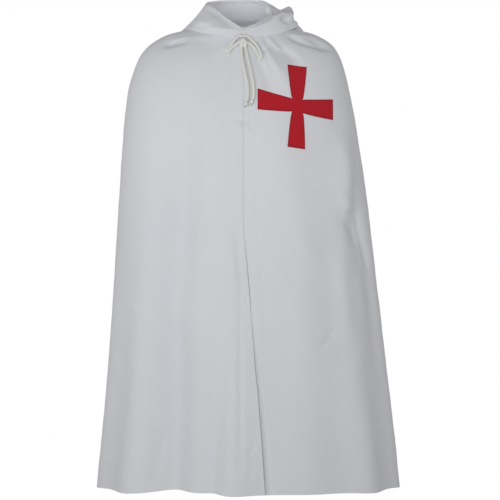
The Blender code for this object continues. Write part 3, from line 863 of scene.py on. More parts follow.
def stitches(starts: Array, ends: Array, ways: Array, radius: float) -> Shape:
    """Short threads that lie on cloth.

    Args:
        starts: where each thread comes out.
        ends: where it goes in again.
        ways: directions out of the cloth.
        radius: radius of the thread.

    Returns:
        All the threads as one shape.
    """
    run = unit(ends - starts)
    aside = unit(np.cross(run, ways))
    turns = 2 * math.pi * np.arange(STITCH_SIDES) / STITCH_SIDES
    rings = []
    for ring in STITCH_RINGS:
        middle = starts + ring.share * (ends - starts) + ring.lift * radius * ways
        spread = np.cos(turns)[None, :, None] * ways[:, None] + np.sin(turns)[None, :, None] * aside[:, None]
        rings.append(middle[:, None] + ring.width * radius * spread)
    points = np.stack(rings, axis=1)
    count = len(STITCH_RINGS) * STITCH_SIDES
    numbers = np.arange(count).reshape(len(STITCH_RINGS), STITCH_SIDES)
    closed = np.concatenate((numbers, numbers[:, :1]), axis=1)
    faces = np.concatenate((grid_quads(closed)[:, ::-1], numbers[:1], numbers[-1:, ::-1]))
    starts_at = count * np.arange(len(starts))
    every = (faces[None] + starts_at[:, None, None]).reshape(-1, 4)
    points = points.reshape(-1, 3)
    return Shape(points, every, np.zeros((len(points), 2)))


def hem_stitches(line: Array, ways: Array) -> Shape:
    """Row of stitches along a hem.

    Args:
        line: points of the row on the cloth.
        ways: directions out of the cloth at those points.

    Returns:
        The stitches.
    """
    length = lengths_along(line)
    pitch = HEM_STITCH.pitch
    starts = np.arange(0.5 * pitch, length[-1] - pitch, pitch)
    ends = starts + pitch - HEM_STITCH.gap
    way = unit(values_at(starts, length, ways))
    return stitches(resample(line, starts), resample(line, ends), way, HEM_STITCH.radius)


# A cord that starts steeper than this has its first side turned from the left, not from above
STEEP_RISE = 0.9


def tube(path: Array, radii: Union[float, Array], sides: int, closed: bool) -> Shape:
    """Round tube along a path.

    Args:
        path: points of its middle line.
        radii: one radius, or those at each point and side.
        sides: sides of the tube.
        closed: whether the path runs back into its start.

    Returns:
        The tube, with flat ends where it is open.
    """
    if closed:
        run = unit(np.roll(path, -1, axis=0) - np.roll(path, 1, axis=0))
    else:
        run = unit(np.gradient(path, axis=0))
    normal = unit(np.cross(run[0], UP if abs(run[0][2]) < STEEP_RISE else LEFTWARD))
    normals = []
    for way in run:
        normal = normal - way * (normal @ way)
        normal = normal / np.linalg.norm(normal)
        normals.append(normal)
    normals = np.array(normals)
    aside = np.cross(run, normals)
    turns = 2 * math.pi * np.arange(sides) / sides
    if closed:
        last = math.atan2(normals[0] @ aside[-1], normals[0] @ normals[-1])
        turns = turns[None] + (last * np.arange(len(path)) / len(path))[:, None]
    else:
        turns = np.broadcast_to(turns, (len(path), sides))
    spread = np.cos(turns)[..., None] * normals[:, None] + np.sin(turns)[..., None] * aside[:, None]
    points = path[:, None] + np.broadcast_to(radii, turns.shape)[..., None] * spread
    numbers = np.arange(points.shape[0] * sides).reshape(-1, sides)
    wrapped = np.concatenate((numbers, numbers[:, :1]), axis=1)
    if closed:
        wrapped = np.concatenate((wrapped, wrapped[:1]))
        faces = grid_quads(wrapped)
    else:
        caps = []
        for ring, flip in ((numbers[0], True), (numbers[-1], False)):
            for step in range(1, sides // 2):
                quad = [ring[step - 1], ring[step], ring[-step - 1], ring[-step]]
                caps.append(quad[::-1] if flip else quad)
        faces = np.concatenate((grid_quads(wrapped), np.array(caps)))
    along = np.repeat(lengths_along(path), sides)
    around = np.tile(np.arange(sides) / sides, len(path))
    return Shape(points.reshape(-1, 3), faces[:, ::-1], np.stack((around, along), axis=-1))


Value = Union["Socket", float, Sequence[float]]


class Socket:
    """Output of a shader node, on which Python's operators add Math nodes."""

    def __init__(self, graph: "Graph", output: bpy.types.NodeSocket) -> None:
        """Keep the output and the graph that it is in."""
        self.graph = graph
        self.output = output

    def maths(self, operation: str, first: Value, second: Value = 0.0) -> "Socket":
        """Result of a Math node on two values."""
        return self.graph.node("ShaderNodeMath", {"operation": operation}, {0: first, 1: second})

    def __add__(self, other: Value) -> "Socket":
        """Sum."""
        return self.maths("ADD", self, other)

    def __radd__(self, other: Value) -> "Socket":
        """Sum with a plain number first."""
        return self.maths("ADD", other, self)

    def __sub__(self, other: Value) -> "Socket":
        """Difference."""
        return self.maths("SUBTRACT", self, other)

    def __rsub__(self, other: Value) -> "Socket":
        """Difference from a plain number."""
        return self.maths("SUBTRACT", other, self)

    def __mul__(self, other: Value) -> "Socket":
        """Product."""
        return self.maths("MULTIPLY", self, other)

    def __rmul__(self, other: Value) -> "Socket":
        """Product with a plain number first."""
        return self.maths("MULTIPLY", other, self)

    def sine(self) -> "Socket":
        """Sine of the value."""
        return self.maths("SINE", self)


class Graph:
    """Nodes of a material or of the world."""

    def __init__(self, tree: bpy.types.NodeTree) -> None:
        """Start with an empty tree."""
        self.tree = tree
        self.tree.nodes.clear()

    def node(
        self,
        kind: str,
        settings: Optional[Mapping[str, object]] = None,
        sockets: Optional[Mapping[Union[str, int], Value]] = None,
        output: Union[str, int] = 0,
    ) -> Socket:
        """Add a node.

        Args:
            kind: the node's type.
            settings: its own settings, set before its sockets.
            sockets: values or links of its inputs.
            output: the output that is wanted.

        Returns:
            That output.
        """
        made = self.tree.nodes.new(kind)
        for name, value in (settings or {}).items():
            setattr(made, name, value)
        for name, value in (sockets or {}).items():
            if isinstance(value, Socket):
                self.tree.links.new(value.output, made.inputs[name])
            else:
                made.inputs[name].default_value = value
        outputs = made.outputs
        return Socket(self, outputs[output]) if len(outputs) else Socket(self, None)

    def mix(self, share: Value, first: Value, second: Value) -> Socket:
        """Colour between two."""
        return self.node("ShaderNodeMix", {"data_type": "RGBA"}, {"Factor": share, 6: first, 7: second}, 2)

    def noise(self, scale: float, detail: float) -> Socket:
        """Cloudy value over the object, from 0 to 1."""
        place = self.node("ShaderNodeTexCoord", output="Object")
        return self.node("ShaderNodeTexNoise", None, {"Vector": place, "Scale": scale, "Detail": detail})

    def part_of(self, vector: Socket, axis: int) -> Socket:
        """One part of a vector, 0 to 2 for its x to z."""
        return self.node("ShaderNodeSeparateXYZ", None, {0: vector}, axis)

    def finish(self, sockets: Mapping[str, Value]) -> None:
        """End the material with a surface of these values."""
        shader = self.node("ShaderNodeBsdfPrincipled", None, sockets)
        self.node("ShaderNodeOutputMaterial", None, {"Surface": shader})


def start_material(name: str) -> tuple[bpy.types.Material, Graph]:
    """New material and its empty graph."""
    material = bpy.data.materials.new(name)
    material.use_nodes = True
    return material, Graph(material.node_tree)


def linear(colour: Sequence[float]) -> tuple[float, float, float, float]:
    """Linear RGBA of an sRGB colour given from 0 to 255."""
    red, green, blue = (((part / 255 + 0.055) / 1.055) ** 2.4 for part in colour)
    return red, green, blue, 1.0


@dataclass(frozen=True)
class ClothFinish:
    """Plain woven cloth: its colours, its thread pitch and how softly it is crumpled."""

    name: str
    colour: tuple[float, float, float]
    shade: tuple[float, float, float]
    roughness: float
    sheen: float
    sheen_roughness: float = 0.5
    specular: float = 0.25
    thread_pitch: float = 0.0007
    weave_height: float = 0.00006
    weave_strength: float = 0.5
    crumple_scale: float = 26.0
    crumple_detail: float = 3.0
    crumple_height: float = 0.0016
    crumple_strength: float = 0.35
    cloud_scale: float = 7.0
    cloud_detail: float = 4.0
    cloud_roughness: float = 0.05

    def material(self) -> bpy.types.Material:
        """Material with weave and crumple.

        Returns:
            The material.
        """
        material, graph = start_material(self.name)
        flat = graph.node("ShaderNodeTexCoord", output="UV")
        turns = 2 * math.pi / self.thread_pitch
        weave = (graph.part_of(flat, 0) * turns).sine() * (graph.part_of(flat, 1) * turns).sine()
        crumple = graph.noise(self.crumple_scale, self.crumple_detail)
        cloud = graph.noise(self.cloud_scale, self.cloud_detail)
        crumpled = graph.node(
            "ShaderNodeBump",
            None,
            {"Strength": self.crumple_strength, "Distance": self.crumple_height, "Height": crumple},
        )
        woven = graph.node(
            "ShaderNodeBump",
            None,
            {
                "Strength": self.weave_strength,
                "Distance": self.weave_height,
                "Height": weave,
                "Normal": crumpled,
            },
        )
        graph.finish(
            {
                "Base Color": graph.mix(cloud, linear(self.colour), linear(self.shade)),
                "Roughness": self.roughness + self.cloud_roughness * cloud,
                "Sheen Weight": self.sheen,
                "Sheen Roughness": self.sheen_roughness,
                "Specular IOR Level": self.specular,
                "Normal": woven,
            }
        )
        return material


@dataclass(frozen=True)
class ThreadFinish:
    """Spun thread or braided cord: its colours and the pitch of its fibres."""

    name: str
    colour: tuple[float, float, float]
    shade: tuple[float, float, float]
    roughness: float
    sheen: float = 0.2
    specular: float = 0.3
    fibre_scale: float = 900.0
    fibre_detail: float = 2.0
    fibre_height: float = 0.0003
    fibre_strength: float = 0.3

    def material(self) -> bpy.types.Material:
        """Material with fine fibres.

        Returns:
            The material.
        """
        material, graph = start_material(self.name)
        fibre = graph.noise(self.fibre_scale, self.fibre_detail)
        spun = graph.node(
            "ShaderNodeBump",
            None,
            {"Strength": self.fibre_strength, "Distance": self.fibre_height, "Height": fibre},
        )
        graph.finish(
            {
                "Base Color": graph.mix(fibre, linear(self.colour), linear(self.shade)),
                "Roughness": self.roughness,
                "Sheen Weight": self.sheen,
                "Specular IOR Level": self.specular,
                "Normal": spun,
            }
        )
        return material


WHITE_CLOTH = ClothFinish("white cloth", (231, 232, 236), (225, 226, 231), 0.82, 0.12)
RED_CLOTH = ClothFinish("red cloth", (196, 27, 42), (182, 22, 36), 0.80, 0.10)
WHITE_THREAD = ThreadFinish("white thread", (232, 233, 236), (222, 223, 227), 0.7)
RED_THREAD = ThreadFinish("red thread", (122, 22, 40), (102, 16, 32), 0.7)
CREAM_CORD = ThreadFinish("cream cord", (236, 237, 233), (226, 227, 221), 0.75)


class Slot(Enum):
    """Material slots of the record."""

    CLOTH = "cloth"
    CROSS = "cross"
    CORD = "cord"


SHARP_ANGLE = math.radians(50)


def place_piece(name: str, shape: Shape, material: bpy.types.Material) -> bpy.types.Object:
    """Put a shape into the scene as a smooth piece of the cape.

    Args:
        name: the piece's name.
        shape: its points and faces.
        material: its finish.

    Returns:
        The piece.
    """
    mesh = bpy.data.meshes.new(name)
    count = len(shape.faces)
    mesh.vertices.add(len(shape.points))
    mesh.vertices.foreach_set("co", shape.points.astype(np.float32).ravel())
    mesh.loops.add(4 * count)
    mesh.loops.foreach_set("vertex_index", shape.faces.astype(np.int32).ravel())
    mesh.polygons.add(count)
    mesh.polygons.foreach_set("loop_start", np.arange(0, 4 * count, 4, dtype=np.int32))
    mesh.update(calc_edges=True)
    layer = mesh.uv_layers.new(name="flat")
    layer.data.foreach_set("uv", shape.flat[shape.faces.ravel()].astype(np.float32).ravel())
    mesh.shade_smooth()
    mesh.set_sharp_from_angle(angle=SHARP_ANGLE)
    mesh.materials.append(material)
    piece = bpy.data.objects.new(name, mesh)
    bpy.context.scene.collection.objects.link(piece)
    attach(piece, ROOT)
    LOG.info("%s: %d faces", name, count)
    return piece


class Cut(NamedTuple):
    """Flat cut of a piece of cloth: the width and length of the rectangle it fits, and its area."""

    width: float
    length: float
    area: float


@dataclass(frozen=True)
class Tailor:
    """Sews the white pieces: cloth with its hems stitched."""

    cloth: bpy.types.Material
    thread: bpy.types.Material

    def sew(self, node: str, grid: ClothGrid, hems: Sequence[HemLine], cut: Cut) -> None:
        """Put a piece of cloth and its stitching into the scene.

        Args:
            node: the solid that the cloth stands for.
            grid: the cloth.
            hems: stitch lines on it, each with the directions out of the cloth.
            cut: its flat cut; not used.
        """
        piece = place_piece(f"{node}_cloth", grid.wall(), self.cloth)
        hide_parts(node)
        sewing = joined([hem_stitches(*hem) for hem in hems])
        sewn = place_piece(f"{node}_stitching", sewing, self.thread)
        cut.length


@dataclass
class CapeBody:
    """The two fronts and the back, with their hems and stitching."""

    form: CapeForm
    cloth: float = 0.0010
    hem: float = 0.018
    front_hem: float = 0.030
    hem_extra: float = 0.0008
    hem_blend: float = 0.003
    seam_angle: float = 93.0
    seam_gap: float = 0.0003
    seam_sink: float = 0.0016
    seam_width: float = 0.007
    stitch_dent: float = 0.00025
    dent_width: float = 0.002
    rows: int = 200
    hem_rows: int = 18
    hem_share: float = 0.030
    front_columns: int = 110
    back_columns: int = 210
    edge_columns: int = 22
    edge_share: float = 0.075
    seam_columns: int = 6
    seam_share: float = 0.016
    front_cut: Cut = Cut(0.60, 1.25, 0.50)
    back_cut: Cut = Cut(1.20, 1.25, 0.97)

    def levels(self) -> Array:
        """Levels of the rows, close together at the hem.

        Returns:
            Cloth lengths below the neck seam, in one column.
        """
        above = np.linspace(0.0, 1 - self.hem_share, self.rows)
        below = np.linspace(1 - self.hem_share, 1.0, self.hem_rows + 1)[1:]
        return self.form.length * np.concatenate((above, below))[:, None]

    def front_shares(self) -> Array:
        """Places of a front's columns from its free edge to its side seam.

        Returns:
            Shares of the front's width, in one row.
        """
        near = np.linspace(0.0, self.edge_share, self.edge_columns + 1)[:-1]
        middle = np.linspace(self.edge_share, 1 - self.seam_share, self.front_columns)
        far = np.linspace(1 - self.seam_share, 1.0, self.seam_columns + 1)[1:]
        return np.concatenate((near, middle, far))[None, :]

    def back_shares(self) -> Array:
        """Places of the back's columns from its left seam to its right one.

        Returns:
            Shares of the back's width, in one row.
        """
        share = 0.5 * self.seam_share
        near = np.linspace(0.0, share, self.seam_columns + 1)[:-1]
        middle = np.linspace(share, 1 - share, self.back_columns)
        return np.concatenate((near, middle, 1 - near[::-1]))[None, :]

    def half_gap(self, down: Array) -> Array:
        """Half of the angle between two panels at a side seam."""
        return 0.5 * self.seam_gap / self.form.section_at(down).back_reach

    def front_angles(self, side: Side, down: Array) -> Array:
        """Angles of a front's columns, from the wearer's right to the left.

        Args:
            side: which front.
            down: levels of the rows.

        Returns:
            The angles.
        """
        edges = self.form.front_edge_at(down)
        start = self.form.edge_angle(edges.right_x if side is Side.RIGHT else edges.left_x, down)
        seam = side * (math.radians(self.seam_angle) - self.half_gap(down))
        angles = start + (seam - start) * self.front_shares()
        return angles[:, ::-1] if side is Side.RIGHT else angles

    def back_angles(self, down: Array) -> Array:
        """Angles of the back's columns."""
        start = math.radians(self.seam_angle) + self.half_gap(down)
        return start + 2 * (math.pi - start) * self.back_shares()

    def grid(self, side: Side, surface: Surface, angle: Array) -> ClothGrid:
        """Cloth of a panel, with its seams sunk, its hems turned and its stitch lines dented.

        Args:
            side: which panel. The right front has its free edge at the last column, the left at the first.
            surface: the panel's outer face.
            angle: angles of its columns at each row.

        Returns:
            The cloth.
        """
        down = np.broadcast_to(self.levels(), angle.shape)
        outer = surface(angle, down)
        way = self.form.outward(surface, angle, down)
        across = lengths_along(outer.swapaxes(0, 1)).T
        rest = across[:, -1:] - across
        to_hem = self.form.length - down
        edge, seams = {
            Side.RIGHT: (rest, across),
            Side.BACK: (np.full_like(across, self.form.length), np.minimum(across, rest)),
            Side.LEFT: (across, rest),
        }[side]
        sink = self.seam_sink * (1 - ease(seams / self.seam_width))
        for away, width in ((to_hem, self.hem), (edge, self.front_hem)):
            sink = sink + self.stitch_dent * np.exp(-(((away - width) / self.dent_width) ** 2))
        turned = np.maximum(
            ease((self.hem - to_hem) / self.hem_blend),
            ease((self.front_hem - edge) / self.hem_blend),
        )
        outer = outer - sink[..., None] * way
        inner = outer - (self.cloth + self.hem_extra * turned)[..., None] * way
        return ClothGrid(outer, inner, np.stack((across, down), axis=-1))

    def build(self, tailor: Tailor) -> None:
        """Make the panels and stitch their hems and free edges.

        Args:
            tailor: sews the panels.
        """
        down = self.levels()
        fronts = (
            ("front_right", Side.RIGHT, self.form.right_front_point),
            ("front_left", Side.LEFT, self.form.left_front_point),
        )
        for node, side, surface in fronts:
            grid = self.grid(side, surface, self.front_angles(side, down))
            edge = grid.turned().row_line(self.front_hem, side is Side.RIGHT)
            tailor.sew(node, grid, [grid.row_line(self.hem, True), edge], self.front_cut)
        grid = self.grid(Side.BACK, self.form.skin_point, self.back_angles(down))
        tailor.sew("back", grid, [grid.row_line(self.hem, True)], self.back_cut)


@dataclass
class Hood:
    """The hood, in two halves that hang as a bag behind the neck."""

    form: CapeForm
    cloth: float = 0.0010
    lean: float = 0.015
    roll: float = 0.008
    roll_rise: float = 0.003
    curl: float = 0.006
    curl_drop: float = 0.004
    edge_rise: float = 1 / 3
    flat_share: float = 0.3
    bag_middle: float = 0.75
    long_bag: float = 0.14
    clearance: float = -0.0004
    clearance_growth: float = 0.014
    seam_clearance: float = 0.0004
    seam_gap: float = 0.00004
    seam_sink: float = 0.0005
    seam_width: float = 0.004
    edge_hem: float = 0.016
    hem_extra: float = 0.0006
    hem_blend: float = 0.003
    outer_rows: int = 90
    turn_rows: int = 20
    return_rows: int = 40
    columns: int = 110
    crease_blend: float = 0.02
    crease_fade: float = 1 / 6
    cut: Cut = Cut(0.36, 0.42, 0.14)

    def lines(self, row: HoodSection, side: Side) -> Array:
        """Lines of the outer face, from the face edge round the bag to the neck seam.

        Args:
            row: sections of the hood, one value an angle.
            side: which half.

        Returns:
            Points, a row for each step along the lines and a column for each angle.
        """
        turn = np.radians(row.angle)
        angle = side * turn
        across = np.stack((np.sin(angle), -np.cos(angle), np.zeros(len(angle))), axis=-1)
        roll = np.sin(turn / 2)[:, None] ** 2
        lean = np.where(turn < 0.5 * math.pi, self.lean * np.sin(2 * turn) ** 2, 0.0)[:, None]
        edge = across * row.edge_reach[:, None] + UP * row.edge_z[:, None] + BACKWARD * lean
        slope = across * row.slope_reach[:, None] + UP * row.slope_z[:, None]
        curl = edge - (1 - roll) * (across * self.curl + UP * self.curl_drop)
        crest = edge + roll * (across * self.roll + UP * self.roll_rise)
        crest += (1 - roll) * self.flat_share * (slope - edge)
        dip = 0.5 * (crest + slope) - UP * row.dip[:, None]
        clearance = self.clearance + self.clearance_growth * row.bag_down
        radius = 0.5 * (row.bag_bulge - clearance)
        bag = row.bag_down - radius
        middle = self.form.above(angle, self.bag_middle * bag, row.bag_bulge)
        side_of_bag = self.form.above(angle, bag, row.bag_bulge)
        long = ease(row.bag_down / self.long_bag - 0.5)[:, None]
        middle = long * middle + (1 - long) * 0.5 * (slope + side_of_bag)
        edge += self.edge_rise * roll * (crest - edge)
        controls = np.stack((curl, edge, crest, dip, slope, middle, side_of_bag), axis=1)
        lines = list(np.stack([smooth_route(line, self.outer_rows + 1) for line in controls], axis=1))
        for bend in np.linspace(math.pi / 2, -math.pi / 2, self.turn_rows + 1)[1:]:
            lift = clearance + radius * (1 + math.sin(bend))
            lines.append(self.form.above(angle, bag + radius * math.cos(bend), lift))
        for share in np.linspace(1.0, 0.0, self.return_rows + 1)[1:]:
            lift = clearance * share + self.seam_clearance * (1 - share)
            lines.append(self.form.above(angle, bag * share, lift))
        return np.stack(lines)

    def normals(self, points: Array, side: Side) -> Array:
        """Unit vectors out of the hood's outer face."""
        return unit(side * np.cross(np.gradient(points, axis=0), np.gradient(points, axis=1)))

    def grid(self, sections: Sequence[HoodSection], side: Side) -> ClothGrid:
        """Cloth of one half, with its creases, its turned edge and its sunk seam.

        Args:
            sections: the half's table.
            side: which half.

        Returns:
            The cloth.
        """
        angles = np.linspace(sections[0].angle, sections[-1].angle, self.columns + 1)
        row = table_row(sections, [section.angle for section in sections], angles)
        outer = self.lines(row, side)
        way = self.normals(outer, side)
        creases = crease_lift(HOOD_FRONT_CREASES, HOOD_BACK_CREASES, outer, self.crease_blend)
        shown = np.arange(len(outer)) / self.outer_rows
        height = creases * (ease(shown / self.crease_fade) * ease((1 - shown) / self.crease_fade))[:, None]
        outer = outer + height[..., None] * way
        way = self.normals(outer, side)
        seam = np.abs(outer[..., 0])
        behind = (outer[..., 1] > 0) & (shown[:, None] <= 1)
        sink = np.where(behind, self.seam_sink * (1 - ease(seam / self.seam_width)), 0.0)
        along = lengths_along(outer)
        turned = ease((self.edge_hem - along) / self.hem_blend)
        inner = outer - (self.cloth + self.hem_extra * turned)[..., None] * way
        outer = outer - sink[..., None] * way
        for wall in (outer, inner):
            wall[:, -1, 0] = side * 0.5 * self.seam_gap
        around = np.radians(angles) * np.mean(row.slope_reach)
        flat = np.stack((np.broadcast_to(around, along.shape), along), axis=-1)
        grid = ClothGrid(outer, inner, flat)
        return grid.flipped() if side is Side.RIGHT else grid

    def build(self, tailor: Tailor) -> None:
        """Make both halves and stitch their face edges.

        Args:
            tailor: sews the halves.
        """
        for node, sections, side in (
            ("hood_right", HOOD_RIGHT, Side.RIGHT),
            ("hood_left", HOOD_LEFT, Side.LEFT),
        ):
            grid = self.grid(sections, side)
            tailor.sew(node, grid, [grid.row_line(self.edge_hem, False)], self.cut)


class Wrap(NamedTuple):
    """One turn of cord round the bow's knot.

    It lies that far to the wearer's left of the knot's middle, leans that many degrees to the left as it
    rises and is twice that high.
    """

    shift: float
    tilt: float
    half_height: float


KNOT_WRAPS = (Wrap(-0.003, 24, 0.0066), Wrap(0.004, -28, 0.0062))


@dataclass
class Drawstring:
    """The cord tied in a bow at the throat, each half with its loop and its knotted end."""

    form: CapeForm
    diameter: float = 0.0078
    knot_x: float = 0.0045
    knot_z: float = -0.037
    knot_half_height: float = 0.0090
    clearance: float = 0.0006
    exit_x: float = 0.0030
    exit_z: float = -0.0190
    exit_sink: float = 0.0035
    ring_spacing: float = 0.0007
    sides: int = 24
    strands: int = 4
    strand_turns: float = 95.0
    strand_relief: float = 0.10
    tail_shift: float = 0.002
    wrap_radius: float = 0.0036
    wrap_points: int = 64
    wrap_sides: int = 16
    end_radius: float = 0.0022
    end_half_width: float = 0.0055
    end_half_height: float = 0.0069
    end_hang: float = 0.8
    end_depth: float = 0.6
    end_steps: int = 3
    fray_strands: int = 16
    fray_turn: float = 2.4
    fray_core: float = 0.25
    fray_start: float = 0.5
    fray_foot: float = 0.0014
    fray_middle_length: float = 0.0075
    fray_rim_loss: float = 0.0021
    fray_spread: float = 0.0018
    fray_bow: float = 0.0004
    fray_radius: float = 0.0004
    fray_points: int = 7
    fray_sides: int = 4

    def on_front(self, route: Sequence[tuple[float, float]], lift: float) -> Array:
        """Places given from the knot, that far above the cloth."""
        x, z = np.array(route).T
        return self.form.above_front(self.knot_x + x, self.knot_z + z, lift)

    def knot_middle(self) -> Array:
        """Middle of the bow's knot."""
        return self.on_front(((0.0, 0.0),), self.knot_half_height)[0]

    def path(self, side: Side) -> Array:
        """Middle line of one half, from the neck seam through the knot and the loop to the free end.

        Args:
            side: which half.

        Returns:
            Points at an even spacing.
        """
        lift = 0.5 * self.diameter + self.clearance
        loop, tail = {
            Side.RIGHT: (LOOP_RIGHT_ROUTE, TAIL_RIGHT_ROUTE),
            Side.LEFT: (LOOP_LEFT_ROUTE, TAIL_LEFT_ROUTE),
        }[side]
        leave = self.on_front(((-side * self.exit_x, self.exit_z - self.knot_z),), -self.exit_sink)
        lower = self.knot_middle() + self.tail_shift * (side * LEFTWARD - UP)
        places = (leave, self.on_front(loop, lift), lower[None], self.on_front(tail, lift))
        points = np.concatenate(places)
        return smooth_route(points, round(lengths_along(points)[-1] / self.ring_spacing))

    def braid(self, path: Array) -> Shape:
        """Braided cord along a path.

        Args:
            path: its middle line.

        Returns:
            The cord.
        """
        around = 2 * math.pi * np.arange(self.sides)[None] / self.sides
        along = self.strand_turns * 2 * math.pi * lengths_along(path)[:, None] / self.strands
        one_way = np.cos(0.5 * self.strands * (around + along)) ** 2
        other_way = np.cos(0.5 * self.strands * (around - along)) ** 2
        relief = np.maximum(one_way, other_way) - 0.5
        return tube(path, 0.5 * self.diameter * (1 + self.strand_relief * relief), self.sides, False)

    def turns(self) -> Array:
        """Angles once round a closed turn of cord."""
        return 2 * math.pi * np.arange(self.wrap_points) / self.wrap_points

    def wrapped(self, wrap: Wrap) -> Shape:
        """Cord of one turn round the bow's knot.

        Args:
            wrap: the turn.

        Returns:
            Its cord.
        """
        turn = self.turns()
        tilt = math.radians(wrap.tilt)
        tall = wrap.half_height * np.sin(turn)
        deep = (self.knot_half_height - self.wrap_radius) * np.cos(turn)
        path = np.stack((wrap.shift + math.sin(tilt) * tall, deep, math.cos(tilt) * tall), axis=-1)
        return tube(self.knot_middle() + path, self.wrap_radius, self.wrap_sides, True)

    def knot(self) -> Shape:
        """Knot of the bow: two turns of cord that cross."""
        return joined([self.wrapped(wrap) for wrap in KNOT_WRAPS])

    def fray(self, foot: Array, way: Array, aside: Array, off_cloth: Array) -> list[Shape]:
        """Loose strands that hang out of an end knot.

        Args:
            foot: where they come out.
            way: direction of the cord.
            aside: direction across it, along the cloth.
            off_cloth: direction out of the cloth.

        Returns:
            The strands, longest in the middle.
        """
        strands = []
        for strand in range(self.fray_strands):
            angle = self.fray_turn * strand
            reach = self.fray_core + (1 - self.fray_core) * math.sqrt(strand / self.fray_strands)
            spread = reach * (math.cos(angle) * aside + math.sin(angle) * off_cloth)
            start = foot + self.fray_foot * spread
            length = self.fray_middle_length - self.fray_rim_loss * reach
            tip = start + way * length + self.fray_spread * spread
            points = np.stack((start, 0.5 * (start + tip) + self.fray_bow * spread, tip))
            line = smooth_route(points, self.fray_points)
            strands.append(tube(line, self.fray_radius, self.fray_sides, False))
        return strands

    def end_knot(self, path: Array) -> Shape:
        """Overhand knot at a free end, with the frayed strands below it.

        Args:
            path: the cord's middle line.

        Returns:
            The knot.
        """
        end = path[-1]
        way = unit(end - path[-1 - self.end_steps])
        lift = self.end_half_width - 0.5 * self.diameter
        off_cloth = self.form.front_outward(end[0], end[2])
        aside = unit(np.cross(way, off_cloth))
        middle = end + way * self.end_half_height * self.end_hang + off_cloth * lift
        turn = self.turns()[:, None]
        right = (np.sin(turn) + 2 * np.sin(2 * turn)) / 3
        above = (np.cos(turn) - 2 * np.cos(2 * turn)) / 3
        reach = self.end_half_width - self.end_radius
        line = middle + reach * (right * aside - self.end_depth * np.sin(3 * turn) * off_cloth)
        line = line + (self.end_half_height - self.end_radius) * above * way
        trefoil = tube(line, self.end_radius, self.wrap_sides, True)
        foot = middle + way * self.end_half_height * self.fray_start
        return joined([trefoil] + self.fray(foot, way, aside, off_cloth))

    def build(self, cord: bpy.types.Material) -> None:
        """Make the two halves of the cord, the bow's knot and the end knots.

        Args:
            cord: finish of the cord.
        """
        knot = place_piece("bow_knot", self.knot(), cord)
        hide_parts("cord_knot")
        for name, side in (("right", Side.RIGHT), ("left", Side.LEFT)):
            path = self.path(side)
            half = place_piece(f"cord_{name}", self.braid(path), cord)
            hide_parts(f"cord_loop_{name}", f"cord_tail_{name}")
            end = place_piece(f"end_knot_{name}", self.end_knot(path), cord)
            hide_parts(f"cord_end_{name}")


class Arm(NamedTuple):
    """One arm of the cross.

    Its direction is in quarter turns from the wearer's left, and its length is from the middle. Its sides
    spread early where the flare is below 1. Its end leans that far to its left, looking out along it.
    """

    quarter: int
    length: float
    end_width: float
    flare: float
    lean: float


CROSS_ARMS = (
    Arm(0, 0.0905, 0.0485, 0.75, 0.000),
    Arm(1, 0.0955, 0.0460, 0.65, 0.000),
    Arm(2, 0.0935, 0.0490, 0.90, 0.000),
    Arm(3, 0.0995, 0.0415, 0.50, -0.003),
)
QUARTER_WAYS = ((1, 0), (0, 1), (-1, 0), (0, -1))


